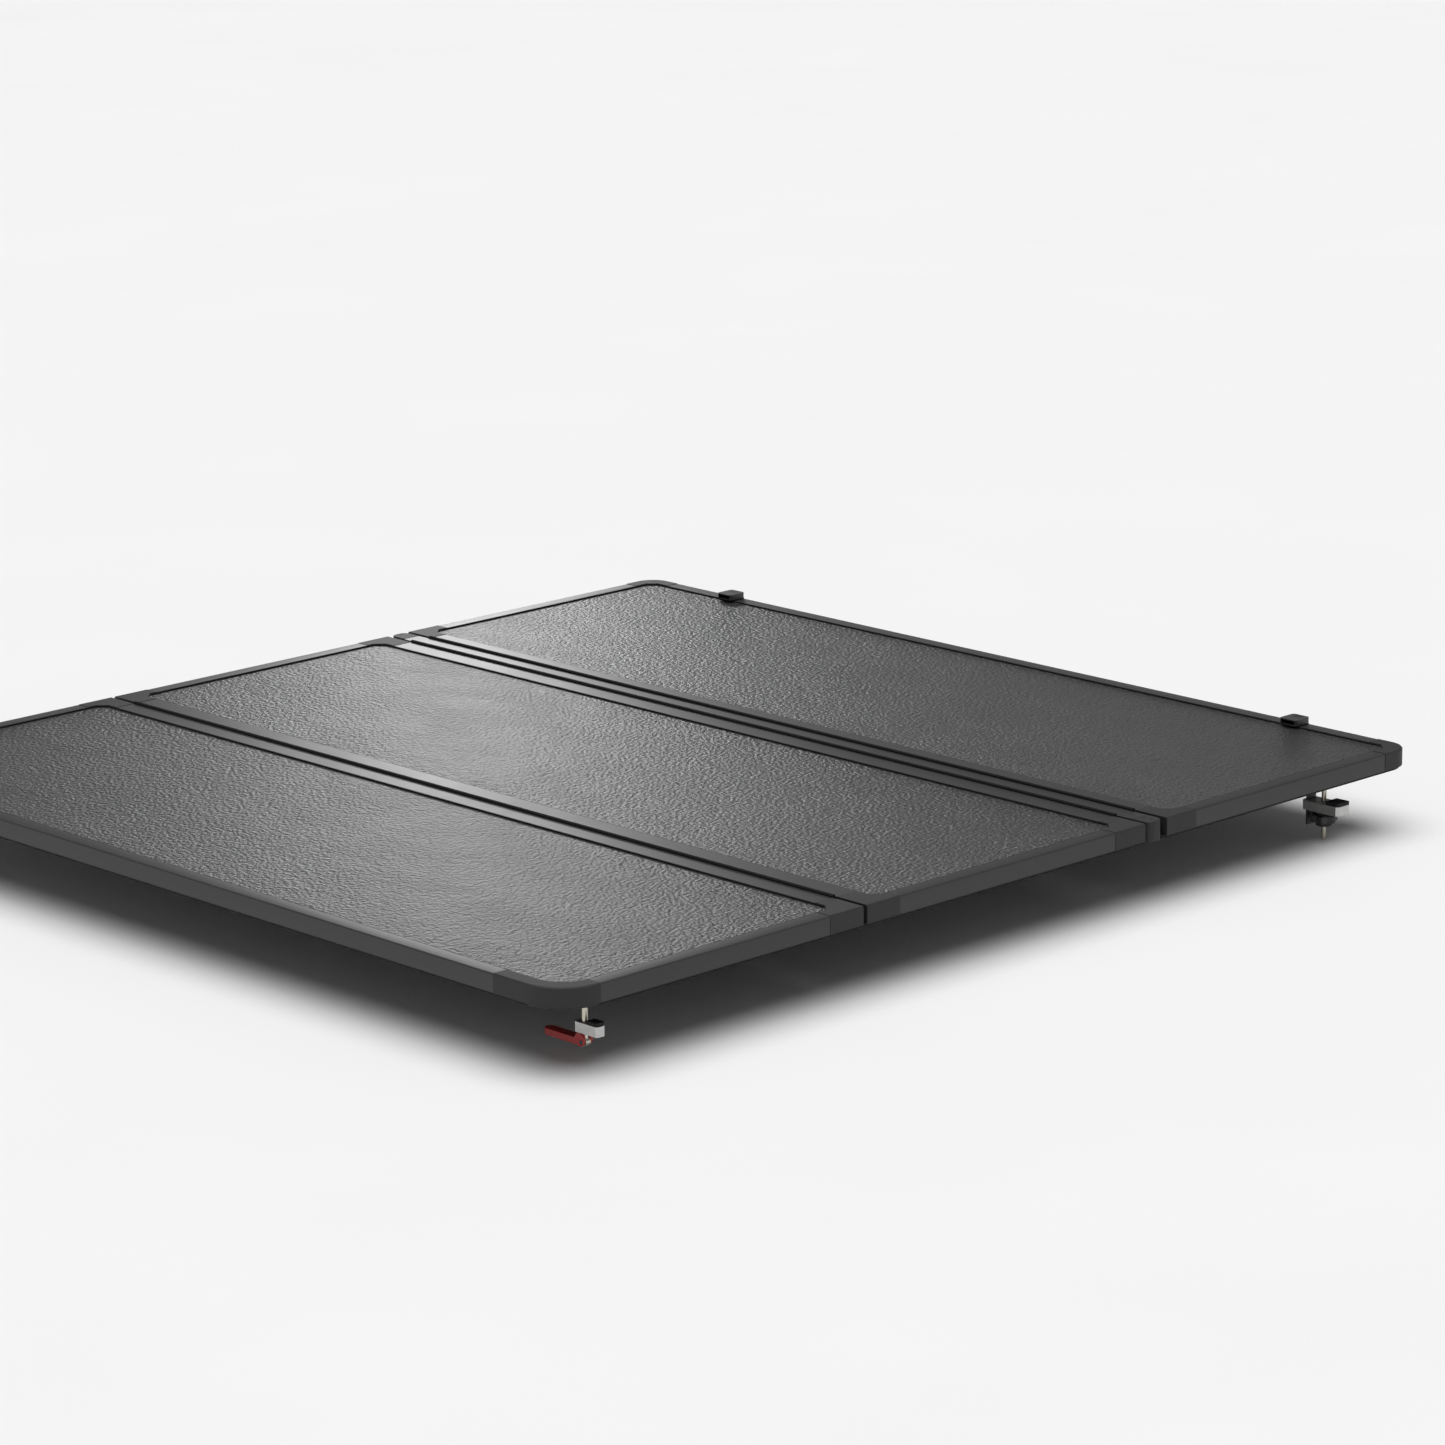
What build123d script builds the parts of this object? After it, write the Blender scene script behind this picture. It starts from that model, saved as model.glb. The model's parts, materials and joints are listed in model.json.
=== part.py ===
"""Hard tri-fold tonneau cover for a pickup bed: three framed panels, a hinge bar, clamps and seals.

Millimetres. X runs to the vehicle's right, Y to the cab, Z up. The origin is at the middle of the
cover in plan, on the bed rim: the plane that the seals rest on.
"""
from math import cos, radians, sin
import os
from build123d import *

# Cutting
over = 1.0                  # how far a cut runs past what it cuts

# Overall sizes
cover_width = 1640.0
tail_length = 540.0         # tail edge to the rear fold axis
middle_length = 558.0       # rear fold axis to the middle fold axis
bar_width = 38.0            # middle fold axis to the front fold axis
front_length = 548.0        # front fold axis to the bulkhead edge

# Levels above the bed rim
seal_height = 4.0
frame_height = 26.0
lip_proud = 2.5             # lip above the skin
axis_above_lip = 1.0

# Panel layers
skin_thickness = 2.0
core_thickness = 10.0
liner_thickness = 1.5
panel_clearance = 0.5       # panel edge to the rail that holds it

# Frame extrusions
rail_wall = 2.0
side_lip = 24.0
end_lip = 24.0
tail_hinge_lip = 32.5
middle_rear_lip = 36.5
middle_front_lip = 34.5
front_hinge_lip = 30.0
bevel = 2.0
window_chamfer = 14.0

# Corners and corner caps
front_corner_radius = 36.0
rear_corner_radius = 68.0
rear_window_radius = 44.0
cap_rise = 0.6              # cap above and outside the rails
cap_arm = 62.0
rear_cap_arm = 128.0
hinge_cap_arm = 58.0

# Hinges
hinge_gap = 7.0             # between the frames that a fold joins
knuckle_radius = 2.8
pin_radius = 1.5
pin_clearance = 0.05
knuckle_count = 15
knuckle_end_gap = 0.6
leaf_thickness = 3.0
bar_height = 18.0
bar_cap_length = 34.0
bar_cap_radius = 12.0
bar_screw_radius = 2.5
bar_screw_head = 1.2
bar_screw_spacing = 14.0
bar_screw_length = 12.0
bar_screw_fit = 0.2         # round the head, and head below the cap's top
bar_cap_chamfer = 1.0
bar_plug_length = 16.0
bar_plug_fit = 0.2

# Seals
seal_width = 14.0
seal_inset = 4.0            # seal to the frame's outer face
seal_bore_radius = 1.2

# Bumpers under the tail panel
bumper_radius = 12.0
bumper_air = 0.4            # bumper to the front panel's skin when folded
bumper_side_inset = 220.0
bumper_end_inset = 120.0
bumper_chamfer = 2.0

# All clamps
throat = 34.0               # bed rim to the clamp pad
pad_thickness = 5.0
jaw_height = 14.0
jaw_fit = 0.3
stud_radius = 4.0
clamp_inset = 58.0          # clamp's rod to the cover's side
plate_thickness = 4.0
plate_gap = 2.0             # bracket plate to the side rail
pad_end_inset = 1.0         # pad to the jaw's end

# Front clamps
front_clamp_from_edge = 130.0
front_plate_length = 60.0
front_jaw_width = 30.0
front_jaw_reach = 38.0
front_jaw_wall = 5.0        # jaw behind the leg's slot
front_jaw_chamfer = 4.0
front_pad_length = 24.0
front_pad_side_inset = 2.0
front_travel = 18.0
leg_width = 20.0
leg_thickness = 3.0
leg_clearance = 2.0         # knob to the leg
leg_extra = 6.0
knob_radius = 21.0
knob_height = 22.0
knob_lobes = 6
knob_lobe_radius = 7.0
knob_collar_radius = 11.9
knob_collar_above = 4.0     # collar over the lobes
knob_collar_below = 6.0
knob_air = 0.4
stud_past_knob = 2.0        # stud below the knob with the clamp fully open
bracket_screw_radius = 3.0
bracket_screw_head_radius = 5.5
bracket_screw_head = 3.0
bracket_screw_from_end = 7.5

# Rear clamps
rear_clamp_from_edge = 92.0
pivot_drop = 9.5            # panel's underside to the swing axis
pivot_pin_radius = 3.0
pivot_clearance = 0.05
eye_radius = 6.0
eye_width = 12.0
ear_radius = 7.0
ear_thickness = 4.0
ear_gap = 0.3
rear_plate_length = 40.0
rear_plate_thickness = 3.0
rear_plate_margin = 8.0     # plate past the ears
rear_jaw_width = 16.0
rear_jaw_reach = 31.0
rear_jaw_back = 13.0
rear_jaw_chamfer = 3.0
rear_pad_length = 20.0
rear_pad_side_inset = 1.0
cam_radius = 9.0
cam_offset = 4.5
cam_start = 45.0            # cam's offset from the rod, with the lever closed, in degrees
cam_air = 0.3
lever_length = 74.0
lever_thickness = 9.0
fork_slot = 8.8
fork_margin = 2.0           # slot past the cam, towards the arm
rod_end_width = 8.0
lever_tip_radius = 7.0

# Storage straps
strap_side_inset = 210.0
strap_width = 25.0
strap_thickness = 1.6
strap_from_window = 2.0     # webbing's inner end to the lip's inner edge
buckle_length = 34.0
buckle_width = 32.0
buckle_thickness = 9.0
buckle_wall = 1.5
buckle_radius = 5.0
buckle_depth = 20.0         # how far the tongue goes in
buckle_setback = 0.3        # buckle's front end behind the cover's front edge
tongue_length = 30.0
tongue_width = 26.0
tongue_thickness = 4.0
tongue_radius = 4.0
tongue_plate_length = 22.0
tongue_plate_thickness = 3.0
tongue_from_fold = 70.0
strap_air = 0.3
strap_drop = 4.0            # webbing's lower end above the bed rim

# Worked out
half_width = cover_width / 2
overall_length = tail_length + middle_length + bar_width + front_length
tail_edge = -overall_length / 2
rear_axis = tail_edge + tail_length
middle_axis = rear_axis + middle_length
front_axis = middle_axis + bar_width
front_edge = front_axis + front_length
half_gap = hinge_gap / 2
frame_bottom = seal_height
lip_top = frame_bottom + frame_height
skin_top = lip_top - lip_proud
core_top = skin_top - skin_thickness
core_bottom = core_top - core_thickness
panel_bottom = core_bottom - liner_thickness
axis_height = lip_top + axis_above_lip
hinge_half = half_width - hinge_cap_arm
station = 2 * hinge_half / knuckle_count
pad_top = -throat
jaw_top = pad_top - pad_thickness
jaw_bottom = jaw_top - jaw_height
clamp_x = half_width - clamp_inset
front_clamp_y = front_edge - front_clamp_from_edge
rear_clamp_y = tail_edge + rear_clamp_from_edge
rail_inner = half_width - side_lip
pivot_height = panel_bottom - pivot_drop
cam_centre_side = cam_offset * sin(radians(cam_start))
cam_centre_up = cam_offset * cos(radians(cam_start))
lever_height = jaw_bottom - cam_air - cam_radius - cam_centre_up
leg_offset = knob_radius + leg_clearance
front_jaw_back = leg_offset + leg_thickness + front_jaw_wall
bar_rear = middle_axis + half_gap
bar_front = front_axis - half_gap

SIDES = {"left": -1, "right": 1}


def block(x, y, z):
    """A box from its (low, high) along each axis, in either order."""
    low = [min(pair) for pair in (x, y, z)]
    size = [abs(pair[1] - pair[0]) for pair in (x, y, z)]
    centre = [a + b / 2 for a, b in zip(low, size)]
    return Pos(*centre) * Box(*size)


def plan(x, y, rear=0.0, front=0.0):
    """A rectangle in plan, with its rear and its front corners rounded."""
    face = Pos((x[0] + x[1]) / 2, (y[0] + y[1]) / 2) * Rectangle(x[1] - x[0], y[1] - y[0])
    corners = face.vertices().sort_by(Axis.Y)
    if front > 0:
        face = fillet(corners[2:], front)
    corners = face.vertices().sort_by(Axis.Y)
    if rear > 0:
        face = fillet(corners[:2], rear)
    return face


def cut_plan(x, y, rear=0.0, front=0.0):
    """A rectangle in plan, with its rear and its front corners cut at 45 degrees."""
    face = Pos((x[0] + x[1]) / 2, (y[0] + y[1]) / 2) * Rectangle(x[1] - x[0], y[1] - y[0])
    if front > 0:
        face = chamfer(face.vertices().sort_by(Axis.Y)[2:], front)
    if rear > 0:
        face = chamfer(face.vertices().sort_by(Axis.Y)[:2], rear)
    return face


def prism(face, z):
    """A plan face stood between two levels."""
    return extrude(Pos(0, 0, z[0]) * face, z[1] - z[0], dir=(0, 0, 1))


def rod(radius, start, end):
    """A round bar between two points."""
    axis = Vector(*end) - Vector(*start)
    return extrude(Plane(origin=start, z_dir=axis) * Circle(radius), axis.length)


class Panel:
    """One framed panel: where it ends, how wide its lips are, and how its corners are rounded."""

    def __init__(self, rear, front, rear_lip, front_lip, rear_radius=0.0, front_radius=0.0):
        self.rear = rear
        self.front = front
        self.rear_lip = rear_lip
        self.front_lip = front_lip
        self.rear_radius = rear_radius
        self.front_radius = front_radius

    def outline(self, inset, rear_inset=None, front_inset=None):
        """The frame's outer plan, moved inward; a negative inset is outward."""
        rear_inset = inset if rear_inset is None else rear_inset
        front_inset = inset if front_inset is None else front_inset
        return plan(
            (-half_width + inset, half_width - inset),
            (self.rear + rear_inset, self.front - front_inset),
            self.rear_radius - inset if self.rear_radius else 0.0,
            self.front_radius - inset if self.front_radius else 0.0,
        )

    def window(self):
        """The opening inside the lips: cut corners, or rounded ones where the panel's end is rounded."""
        x = (-rail_inner, rail_inner)
        y = (self.rear + self.rear_lip, self.front - self.front_lip)
        if self.rear_radius > 0:
            return plan(x, y, rear=rear_window_radius) & cut_plan(x, y, front=window_chamfer)
        return cut_plan(x, y, rear=window_chamfer, front=window_chamfer)

    def ring(self, grow=0.0):
        """The frame as one closed ring, with the channel that holds the panel's layers."""
        rear_grow = grow if self.rear_radius > 0 else 0.0
        front_grow = grow if self.front_radius > 0 else 0.0
        shell = prism(self.outline(-grow, -rear_grow, -front_grow), (frame_bottom, lip_top + grow))
        rim = shell.faces().sort_by(Axis.Z)[-1].edges()
        hinge_edges = [
            edge for edge in rim
            if (not self.rear_radius and edge.center().Y < self.rear + over)
            or (not self.front_radius and edge.center().Y > self.front - over)
        ]
        shell = chamfer([edge for edge in rim if edge not in hinge_edges], bevel)
        opening = prism(self.window(), (frame_bottom - over, lip_top + grow + over))
        channel = prism(self.outline(rail_wall), (panel_bottom, skin_top))
        return shell - opening - channel

    def hollow(self):
        """The closed chamber along the bottom of the rails."""
        chamber = prism(self.outline(rail_wall), (frame_bottom + rail_wall, panel_bottom - rail_wall))
        inner = plan(
            (-rail_inner - rail_wall, rail_inner + rail_wall),
            (self.rear + self.rear_lip - rail_wall, self.front - self.front_lip + rail_wall),
        )
        return chamber - prism(inner, (frame_bottom, panel_bottom))

    def cap_zone(self):
        """The space that the four corner caps take, arms along both sides of each corner."""
        zone = []
        levels = (frame_bottom - over, lip_top + cap_rise + over)
        rounded_rear = self.rear_radius > 0
        rounded_front = self.front_radius > 0
        rear_corner = rear_window_radius if rounded_rear else window_chamfer
        rear_arm = rear_cap_arm if rounded_rear else hinge_cap_arm
        front_arm = cap_arm if rounded_front else hinge_cap_arm
        ends = (
            (self.rear, 1, self.rear_lip, rear_arm, rear_corner),
            (self.front, -1, self.front_lip, front_arm, window_chamfer),
        )
        for side in SIDES.values():
            edge_x = side * (half_width + cap_rise)
            for edge, inward, lip, arm, corner in ends:
                start = edge - inward * cap_rise
                arm_x = (edge_x, side * (half_width - arm))
                rail_x = (edge_x, side * rail_inner)
                corner_x = (edge_x, side * (rail_inner - corner))
                zone.append(block(arm_x, (start, edge + inward * lip), levels))
                zone.append(block(rail_x, (start, edge + inward * cap_arm), levels))
                zone.append(block(corner_x, (start, edge + inward * (lip + corner)), levels))
        return Part() + zone

    def corner_feet(self):
        """What the caps of the rounded corners stand on, in line with the seals."""
        levels = (0, frame_bottom)
        band = self.outline(seal_inset) - self.outline(seal_inset + seal_width)
        zone = []
        for side in SIDES.values():
            ends = ((self.rear, 1, self.rear_radius), (self.front, -1, self.front_radius))
            for edge, inward, radius in ends:
                if radius > 0:
                    foot_x = (side * half_width, side * (half_width - radius))
                    zone.append(block(foot_x, (edge, edge + inward * radius), levels))
        return prism(band, levels) & (Part() + zone) if zone else []

    def layer(self, z):
        """One of the panel's layers, held in the frame's channel."""
        return prism(self.outline(rail_wall + panel_clearance), z)


def knuckle(axis_y, side, start, end):
    """One hinge knuckle with its leaf, on the side of the axis that its rail is on (-1 rear, 1 front)."""
    leaf_top = axis_height - pin_radius - pin_clearance
    leaf_y = (axis_y, axis_y + side * (half_gap + rail_wall / 2))
    leaf = block((start, end), leaf_y, (leaf_top - leaf_thickness, leaf_top))
    barrel = rod(knuckle_radius, (start, axis_y, axis_height), (end, axis_y, axis_height))
    bore = rod(
        pin_radius + pin_clearance,
        (start - over, axis_y, axis_height),
        (end + over, axis_y, axis_height),
    )
    return leaf + barrel - bore


def knuckles(axis_y, side, first):
    """Every second knuckle of a hinge, from the first station given."""
    found = []
    for index in range(first, knuckle_count, 2):
        start = -hinge_half + index * station + knuckle_end_gap / 2
        found.append(knuckle(axis_y, side, start, start + station - knuckle_end_gap))
    return found


def split_frame(panel, name, rear_name, front_name, rear_first=None, front_first=None):
    """A panel's rails and corner caps, as {node: shape}, with the knuckles from the stations given."""
    zone = panel.cap_zone()
    rails = panel.ring() - panel.hollow() - zone
    caps = panel.ring(cap_rise) & zone
    nodes = {}
    middle_y = (panel.rear + panel.front) / 2
    for rail in rails.solids():
        centre = rail.bounding_box().center()
        if abs(centre.X) > half_width / 2:
            side = "left" if centre.X < 0 else "right"
            nodes[f"{name}_{side}_rail"] = rail
        elif centre.Y < middle_y:
            nodes[rear_name] = rail
        else:
            nodes[front_name] = rail
    caps += panel.corner_feet()
    if rear_first is not None:
        nodes[rear_name] = nodes[rear_name] + knuckles(panel.rear - half_gap, 1, rear_first)
    if front_first is not None:
        nodes[front_name] = nodes[front_name] + knuckles(panel.front + half_gap, -1, front_first)
    nodes[f"{name}_corner_caps"] = caps
    return nodes


def seal(start, end):
    """A rubber seal between two plan points, flat below, with a hollow bulb."""
    along = Vector(*end, 0) - Vector(*start, 0)
    profile_plane = Plane(origin=(*start, seal_height / 2), x_dir=(-along.Y, along.X, 0), z_dir=along)
    profile = Rectangle(seal_width, seal_height)
    profile = chamfer(profile.vertices(), seal_height / 5)
    profile -= Circle(seal_bore_radius)
    return extrude(profile_plane * profile, along.length)


panels = {
    "tail_panel": Panel(
        tail_edge, rear_axis - half_gap, end_lip, tail_hinge_lip, rear_radius=rear_corner_radius
    ),
    "middle_panel": Panel(
        rear_axis + half_gap, middle_axis - half_gap, middle_rear_lip, middle_front_lip
    ),
    "front_panel": Panel(
        front_axis + half_gap, front_edge, front_hinge_lip, end_lip, front_radius=front_corner_radius
    ),
}
nodes = {}


def make_panels():
    """The layers and frames of the three panels."""
    for name, panel in panels.items():
        nodes[f"{name}_skin"] = panel.layer((core_top, skin_top))
        nodes[f"{name}_core"] = panel.layer((core_bottom, core_top))
        nodes[f"{name}_liner"] = panel.layer((panel_bottom, core_bottom))
    nodes.update(split_frame(
        panels["tail_panel"], "tail_panel", "tailgate_rail", "tail_hinge_rail", front_first=0
    ))
    nodes.update(split_frame(
        panels["middle_panel"], "middle_panel", "middle_rear_hinge_rail", "middle_front_hinge_rail",
        rear_first=1, front_first=0,
    ))
    nodes.update(split_frame(
        panels["front_panel"], "front_panel", "front_hinge_rail", "bulkhead_rail", rear_first=0
    ))


def make_hinge_bar():
    """The bar between the two front folds, its end caps and their screws, and all hinge pins."""
    bar_end = half_width - bar_cap_length
    levels = (lip_top - bar_height, lip_top)
    bar = block((-bar_end, bar_end), (bar_rear, bar_front), levels)
    inner_y = (bar_rear + rail_wall, bar_front - rail_wall)
    bar -= block((-bar_end, bar_end), inner_y, (levels[0] + rail_wall, levels[1] - rail_wall))
    bar += knuckles(middle_axis, 1, 1)
    bar += knuckles(front_axis, -1, 1)
    nodes["hinge_bar"] = bar

    outer = half_width + cap_rise
    top = lip_top + cap_rise
    plug_y = (inner_y[0] + bar_plug_fit, inner_y[1] - bar_plug_fit)
    plug_z = (levels[0] + rail_wall + bar_plug_fit, levels[1] - rail_wall - bar_plug_fit)
    caps = []
    screws = []
    for side in SIDES.values():
        face = plan(sorted((side * bar_end, side * outer)), (bar_rear, bar_front))
        outer_corners = sorted(face.vertices(), key=lambda v: -side * v.X)[:2]
        cap = prism(fillet(outer_corners, bar_cap_radius), (0, top))
        cap = chamfer(cap.faces().sort_by(Axis.Z)[-1].edges(), bar_cap_chamfer)
        cap += block((side * bar_end, side * (bar_end - bar_plug_length)), plug_y, plug_z)
        for shift in (-0.5, 0.5):
            x = side * (bar_end + outer) / 2 + shift * bar_screw_spacing
            at = (x, (bar_rear + bar_front) / 2)
            head_bottom = top - bar_screw_head
            seat = rod(bar_screw_radius + bar_screw_fit, (*at, head_bottom), (*at, top + over))
            cap -= seat + rod(bar_screw_radius / 2, (*at, top - bar_screw_length), (*at, top))
            head = rod(bar_screw_radius, (*at, head_bottom), (*at, top - bar_screw_fit))
            shank = rod(bar_screw_radius / 2, (*at, top - bar_screw_length), (*at, head_bottom))
            screws.append(head + shank)
        caps.append(cap)
    nodes["hinge_bar_end_caps"] = Part() + caps
    nodes["hinge_bar_screws"] = Part() + screws

    for name, y in (("rear", rear_axis), ("middle", middle_axis), ("front", front_axis)):
        nodes[f"{name}_hinge_pin"] = rod(
            pin_radius, (-hinge_half, y, axis_height), (hinge_half, y, axis_height)
        )


def make_seals():
    """Side seals under each panel's side rails, and a seal across each end."""
    x = half_width - seal_inset - seal_width / 2
    for name, panel in panels.items():
        rear = panel.rear + (rear_corner_radius if panel.rear_radius else 0)
        front = panel.front - (front_corner_radius if panel.front_radius else 0)
        nodes[f"{name}_side_seals"] = Part() + [
            seal((side * x, rear), (side * x, front)) for side in SIDES.values()
        ]
    reach = half_width - front_corner_radius
    y = front_edge - seal_inset - seal_width / 2
    nodes["bulkhead_seal"] = seal((-reach, y), (reach, y))
    reach = half_width - rear_corner_radius
    y = tail_edge + seal_inset + seal_width / 2
    nodes["tailgate_seal"] = seal((-reach, y), (reach, y))


def make_bumpers():
    """Rubber feet under the tail panel, which land on the front panel's skin when it is folded."""
    panel = panels["tail_panel"]
    foot = skin_top - bar_width + bumper_air
    feet = []
    for side in SIDES.values():
        for y in (panel.rear + bumper_end_inset, panel.front - bumper_end_inset):
            at = (side * (half_width - bumper_side_inset), y)
            foot_shape = rod(bumper_radius, (*at, foot), (*at, panel_bottom))
            feet.append(chamfer(foot_shape.faces().sort_by(Axis.Z)[0].edges(), bumper_chamfer))
    nodes["tail_bumpers"] = Part() + feet


def make_front_clamps():
    """A bracket bolted under the front panel, a stud, and a jaw that a knob draws up the stud."""
    plate_z = (panel_bottom - plate_thickness, panel_bottom)
    plate_cut_z = (plate_z[0] - over, plate_z[1] + over)
    head_z = (plate_z[0] - bracket_screw_head, plate_z[0])
    jaw_cut_z = (jaw_bottom - over, jaw_top + over)
    knob_z = (jaw_bottom - knob_air - knob_height, jaw_bottom - knob_air)
    stud_end = knob_z[0] - front_travel - stud_past_knob
    leg_bottom = jaw_bottom - front_travel - leg_extra
    y = front_clamp_y
    half_jaw = front_jaw_width / 2
    screws = []
    studs = []
    brackets = []
    for name, side in SIDES.items():
        x = side * clamp_x
        leg_x = (x - side * leg_offset, x - side * (leg_offset + leg_thickness))
        plate_x = (side * (rail_inner - plate_gap), leg_x[1])
        bracket = block(plate_x, (y - front_plate_length / 2, y + front_plate_length / 2), plate_z)
        bracket += block(leg_x, (y - leg_width / 2, y + leg_width / 2), (leg_bottom, plate_z[1]))
        bracket -= rod(stud_radius, (x, y, plate_cut_z[0]), (x, y, plate_cut_z[1]))
        for shift in (-1, 1):
            at = (x, y + shift * (front_plate_length / 2 - bracket_screw_from_end))
            bracket -= rod(bracket_screw_radius, (*at, plate_cut_z[0]), (*at, plate_cut_z[1]))
            head = rod(bracket_screw_head_radius, (*at, head_z[0]), (*at, head_z[1]))
            screws.append(head + rod(bracket_screw_radius, (*at, head_z[1]), (*at, panel_bottom)))
        brackets.append(bracket)
        studs.append(rod(stud_radius, (x, y, stud_end), (x, y, plate_z[1])))

        jaw_x = (x - side * front_jaw_back, x + side * front_jaw_reach)
        jaw = block(jaw_x, (y - half_jaw, y + half_jaw), (jaw_bottom, jaw_top))
        jaw = chamfer(jaw.edges().filter_by(Axis.Z), front_jaw_chamfer)
        jaw -= rod(stud_radius + jaw_fit, (x, y, jaw_cut_z[0]), (x, y, jaw_cut_z[1]))
        slot_x = (leg_x[0] + side * jaw_fit, leg_x[1] - side * jaw_fit)
        slot_half = leg_width / 2 + jaw_fit
        jaw -= block(slot_x, (y - slot_half, y + slot_half), jaw_cut_z)
        nodes[f"front_clamp_jaw_{name}"] = jaw
        pad_end = front_jaw_reach - pad_end_inset
        pad_x = (x + side * pad_end, x + side * (pad_end - front_pad_length))
        pad_y = (y - half_jaw + front_pad_side_inset, y + half_jaw - front_pad_side_inset)
        nodes[f"front_clamp_pad_{name}"] = block(pad_x, pad_y, (jaw_top, pad_top))

        core = Pos(x, y) * Circle(knob_radius - knob_lobe_radius / 2)
        lobes = [
            Pos(x, y) * Rot(0, 0, 360 / knob_lobes * turn)
            * Pos(knob_radius - knob_lobe_radius) * Circle(knob_lobe_radius)
            for turn in range(knob_lobes)
        ]
        knob = prism(core + lobes, (knob_z[0] + knob_collar_below, knob_z[1] - knob_collar_above))
        knob += rod(knob_collar_radius, (x, y, knob_z[0]), (x, y, knob_z[1]))
        knob -= rod(stud_radius + jaw_fit, (x, y, knob_z[0] - over), (x, y, knob_z[1] + over))
        nodes[f"front_clamp_knob_{name}"] = knob
    nodes["front_clamp_brackets"] = Part() + brackets
    nodes["front_clamp_studs"] = Part() + studs
    nodes["front_clamp_screws"] = Part() + screws


def make_rear_clamps():
    """A rod that swings down from the tail panel, and a jaw on it that a cam lever draws up."""
    y = rear_clamp_y
    plate_z = (panel_bottom - rear_plate_thickness, panel_bottom)
    plate_y = (y - rear_plate_length / 2, y + rear_plate_length / 2)
    ear_inner = eye_width / 2 + ear_gap
    ear_outer = ear_inner + ear_thickness
    bore_radius = pivot_pin_radius + pivot_clearance
    half = rear_jaw_width / 2
    jaw_y = (y - half, y + half)
    pad_y = (y - half + rear_pad_side_inset, y + half - rear_pad_side_inset)
    slot_y = (y - fork_slot / 2, y + fork_slot / 2)
    arm_z = (lever_height - lever_thickness / 2, lever_height + lever_thickness / 2)
    fork_z = (lever_height - 2 * cam_radius, lever_height + 2 * cam_radius)
    cam_z = lever_height + cam_centre_up
    pins = []
    brackets = []
    for name, side in SIDES.items():
        x = side * clamp_x

        def across(radius, start, end):
            """A round bar along X on the swing axis."""
            return rod(radius, (start, y, pivot_height), (end, y, pivot_height))

        def along(radius, reach, at_x=x, at_z=lever_height):
            """A round bar along Y, on the lever's pin unless another place is given."""
            return rod(radius, (at_x, y - reach, at_z), (at_x, y + reach, at_z))

        plate_reach = ear_outer + rear_plate_margin
        bracket = block((x - plate_reach, x + plate_reach), plate_y, plate_z)
        for turn in (-1, 1):
            ear_x = (x + turn * ear_inner, x + turn * ear_outer)
            bracket += block(ear_x, (y - ear_radius, y + ear_radius), (pivot_height, plate_z[0]))
            bracket += across(ear_radius, *ear_x)
        brackets.append(bracket - across(bore_radius, x - ear_outer - over, x + ear_outer + over))
        pins.append(across(pivot_pin_radius, x - ear_outer, x + ear_outer))

        eye_x = (x - eye_width / 2, x + eye_width / 2)
        swing = across(eye_radius, *eye_x)
        swing += rod(stud_radius, (x, y, lever_height), (x, y, pivot_height))
        swing += along(eye_radius, rod_end_width / 2)
        swing -= across(bore_radius, eye_x[0] - over, eye_x[1] + over)
        swing -= along(bore_radius, rod_end_width / 2 + over)
        nodes[f"rear_clamp_rod_{name}"] = swing

        jaw_x = (x - side * rear_jaw_back, x + side * rear_jaw_reach)
        jaw = chamfer(block(jaw_x, jaw_y, (jaw_bottom, jaw_top)).edges().filter_by(Axis.Z), rear_jaw_chamfer)
        jaw -= rod(stud_radius + jaw_fit, (x, y, jaw_bottom - over), (x, y, jaw_top + over))
        nodes[f"rear_clamp_jaw_{name}"] = jaw
        pad_end = rear_jaw_reach - pad_end_inset
        pad_x = (x + side * pad_end, x + side * (pad_end - rear_pad_length))
        nodes[f"rear_clamp_pad_{name}"] = block(pad_x, pad_y, (jaw_top, pad_top))

        tip_x = x - side * (lever_length - lever_tip_radius)
        fork_x = (x + side * 2 * cam_radius, x - side * (cam_radius + cam_offset + fork_margin))
        tip = rod(lever_tip_radius, (tip_x, y, arm_z[0]), (tip_x, y, arm_z[1]))
        lever = along(cam_radius, half, x - side * cam_centre_side, cam_z)
        lever += block((x, tip_x), jaw_y, arm_z)
        lever += tip & block((tip_x, tip_x - side * lever_tip_radius), jaw_y, arm_z)
        lever -= block(fork_x, slot_y, fork_z)
        lever -= along(bore_radius, half + over)
        nodes[f"rear_clamp_lever_{name}"] = lever
        nodes[f"rear_clamp_lever_pin_{name}"] = along(pivot_pin_radius, half)
    nodes["rear_clamp_brackets"] = Part() + brackets
    nodes["rear_clamp_pins"] = Part() + pins


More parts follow.
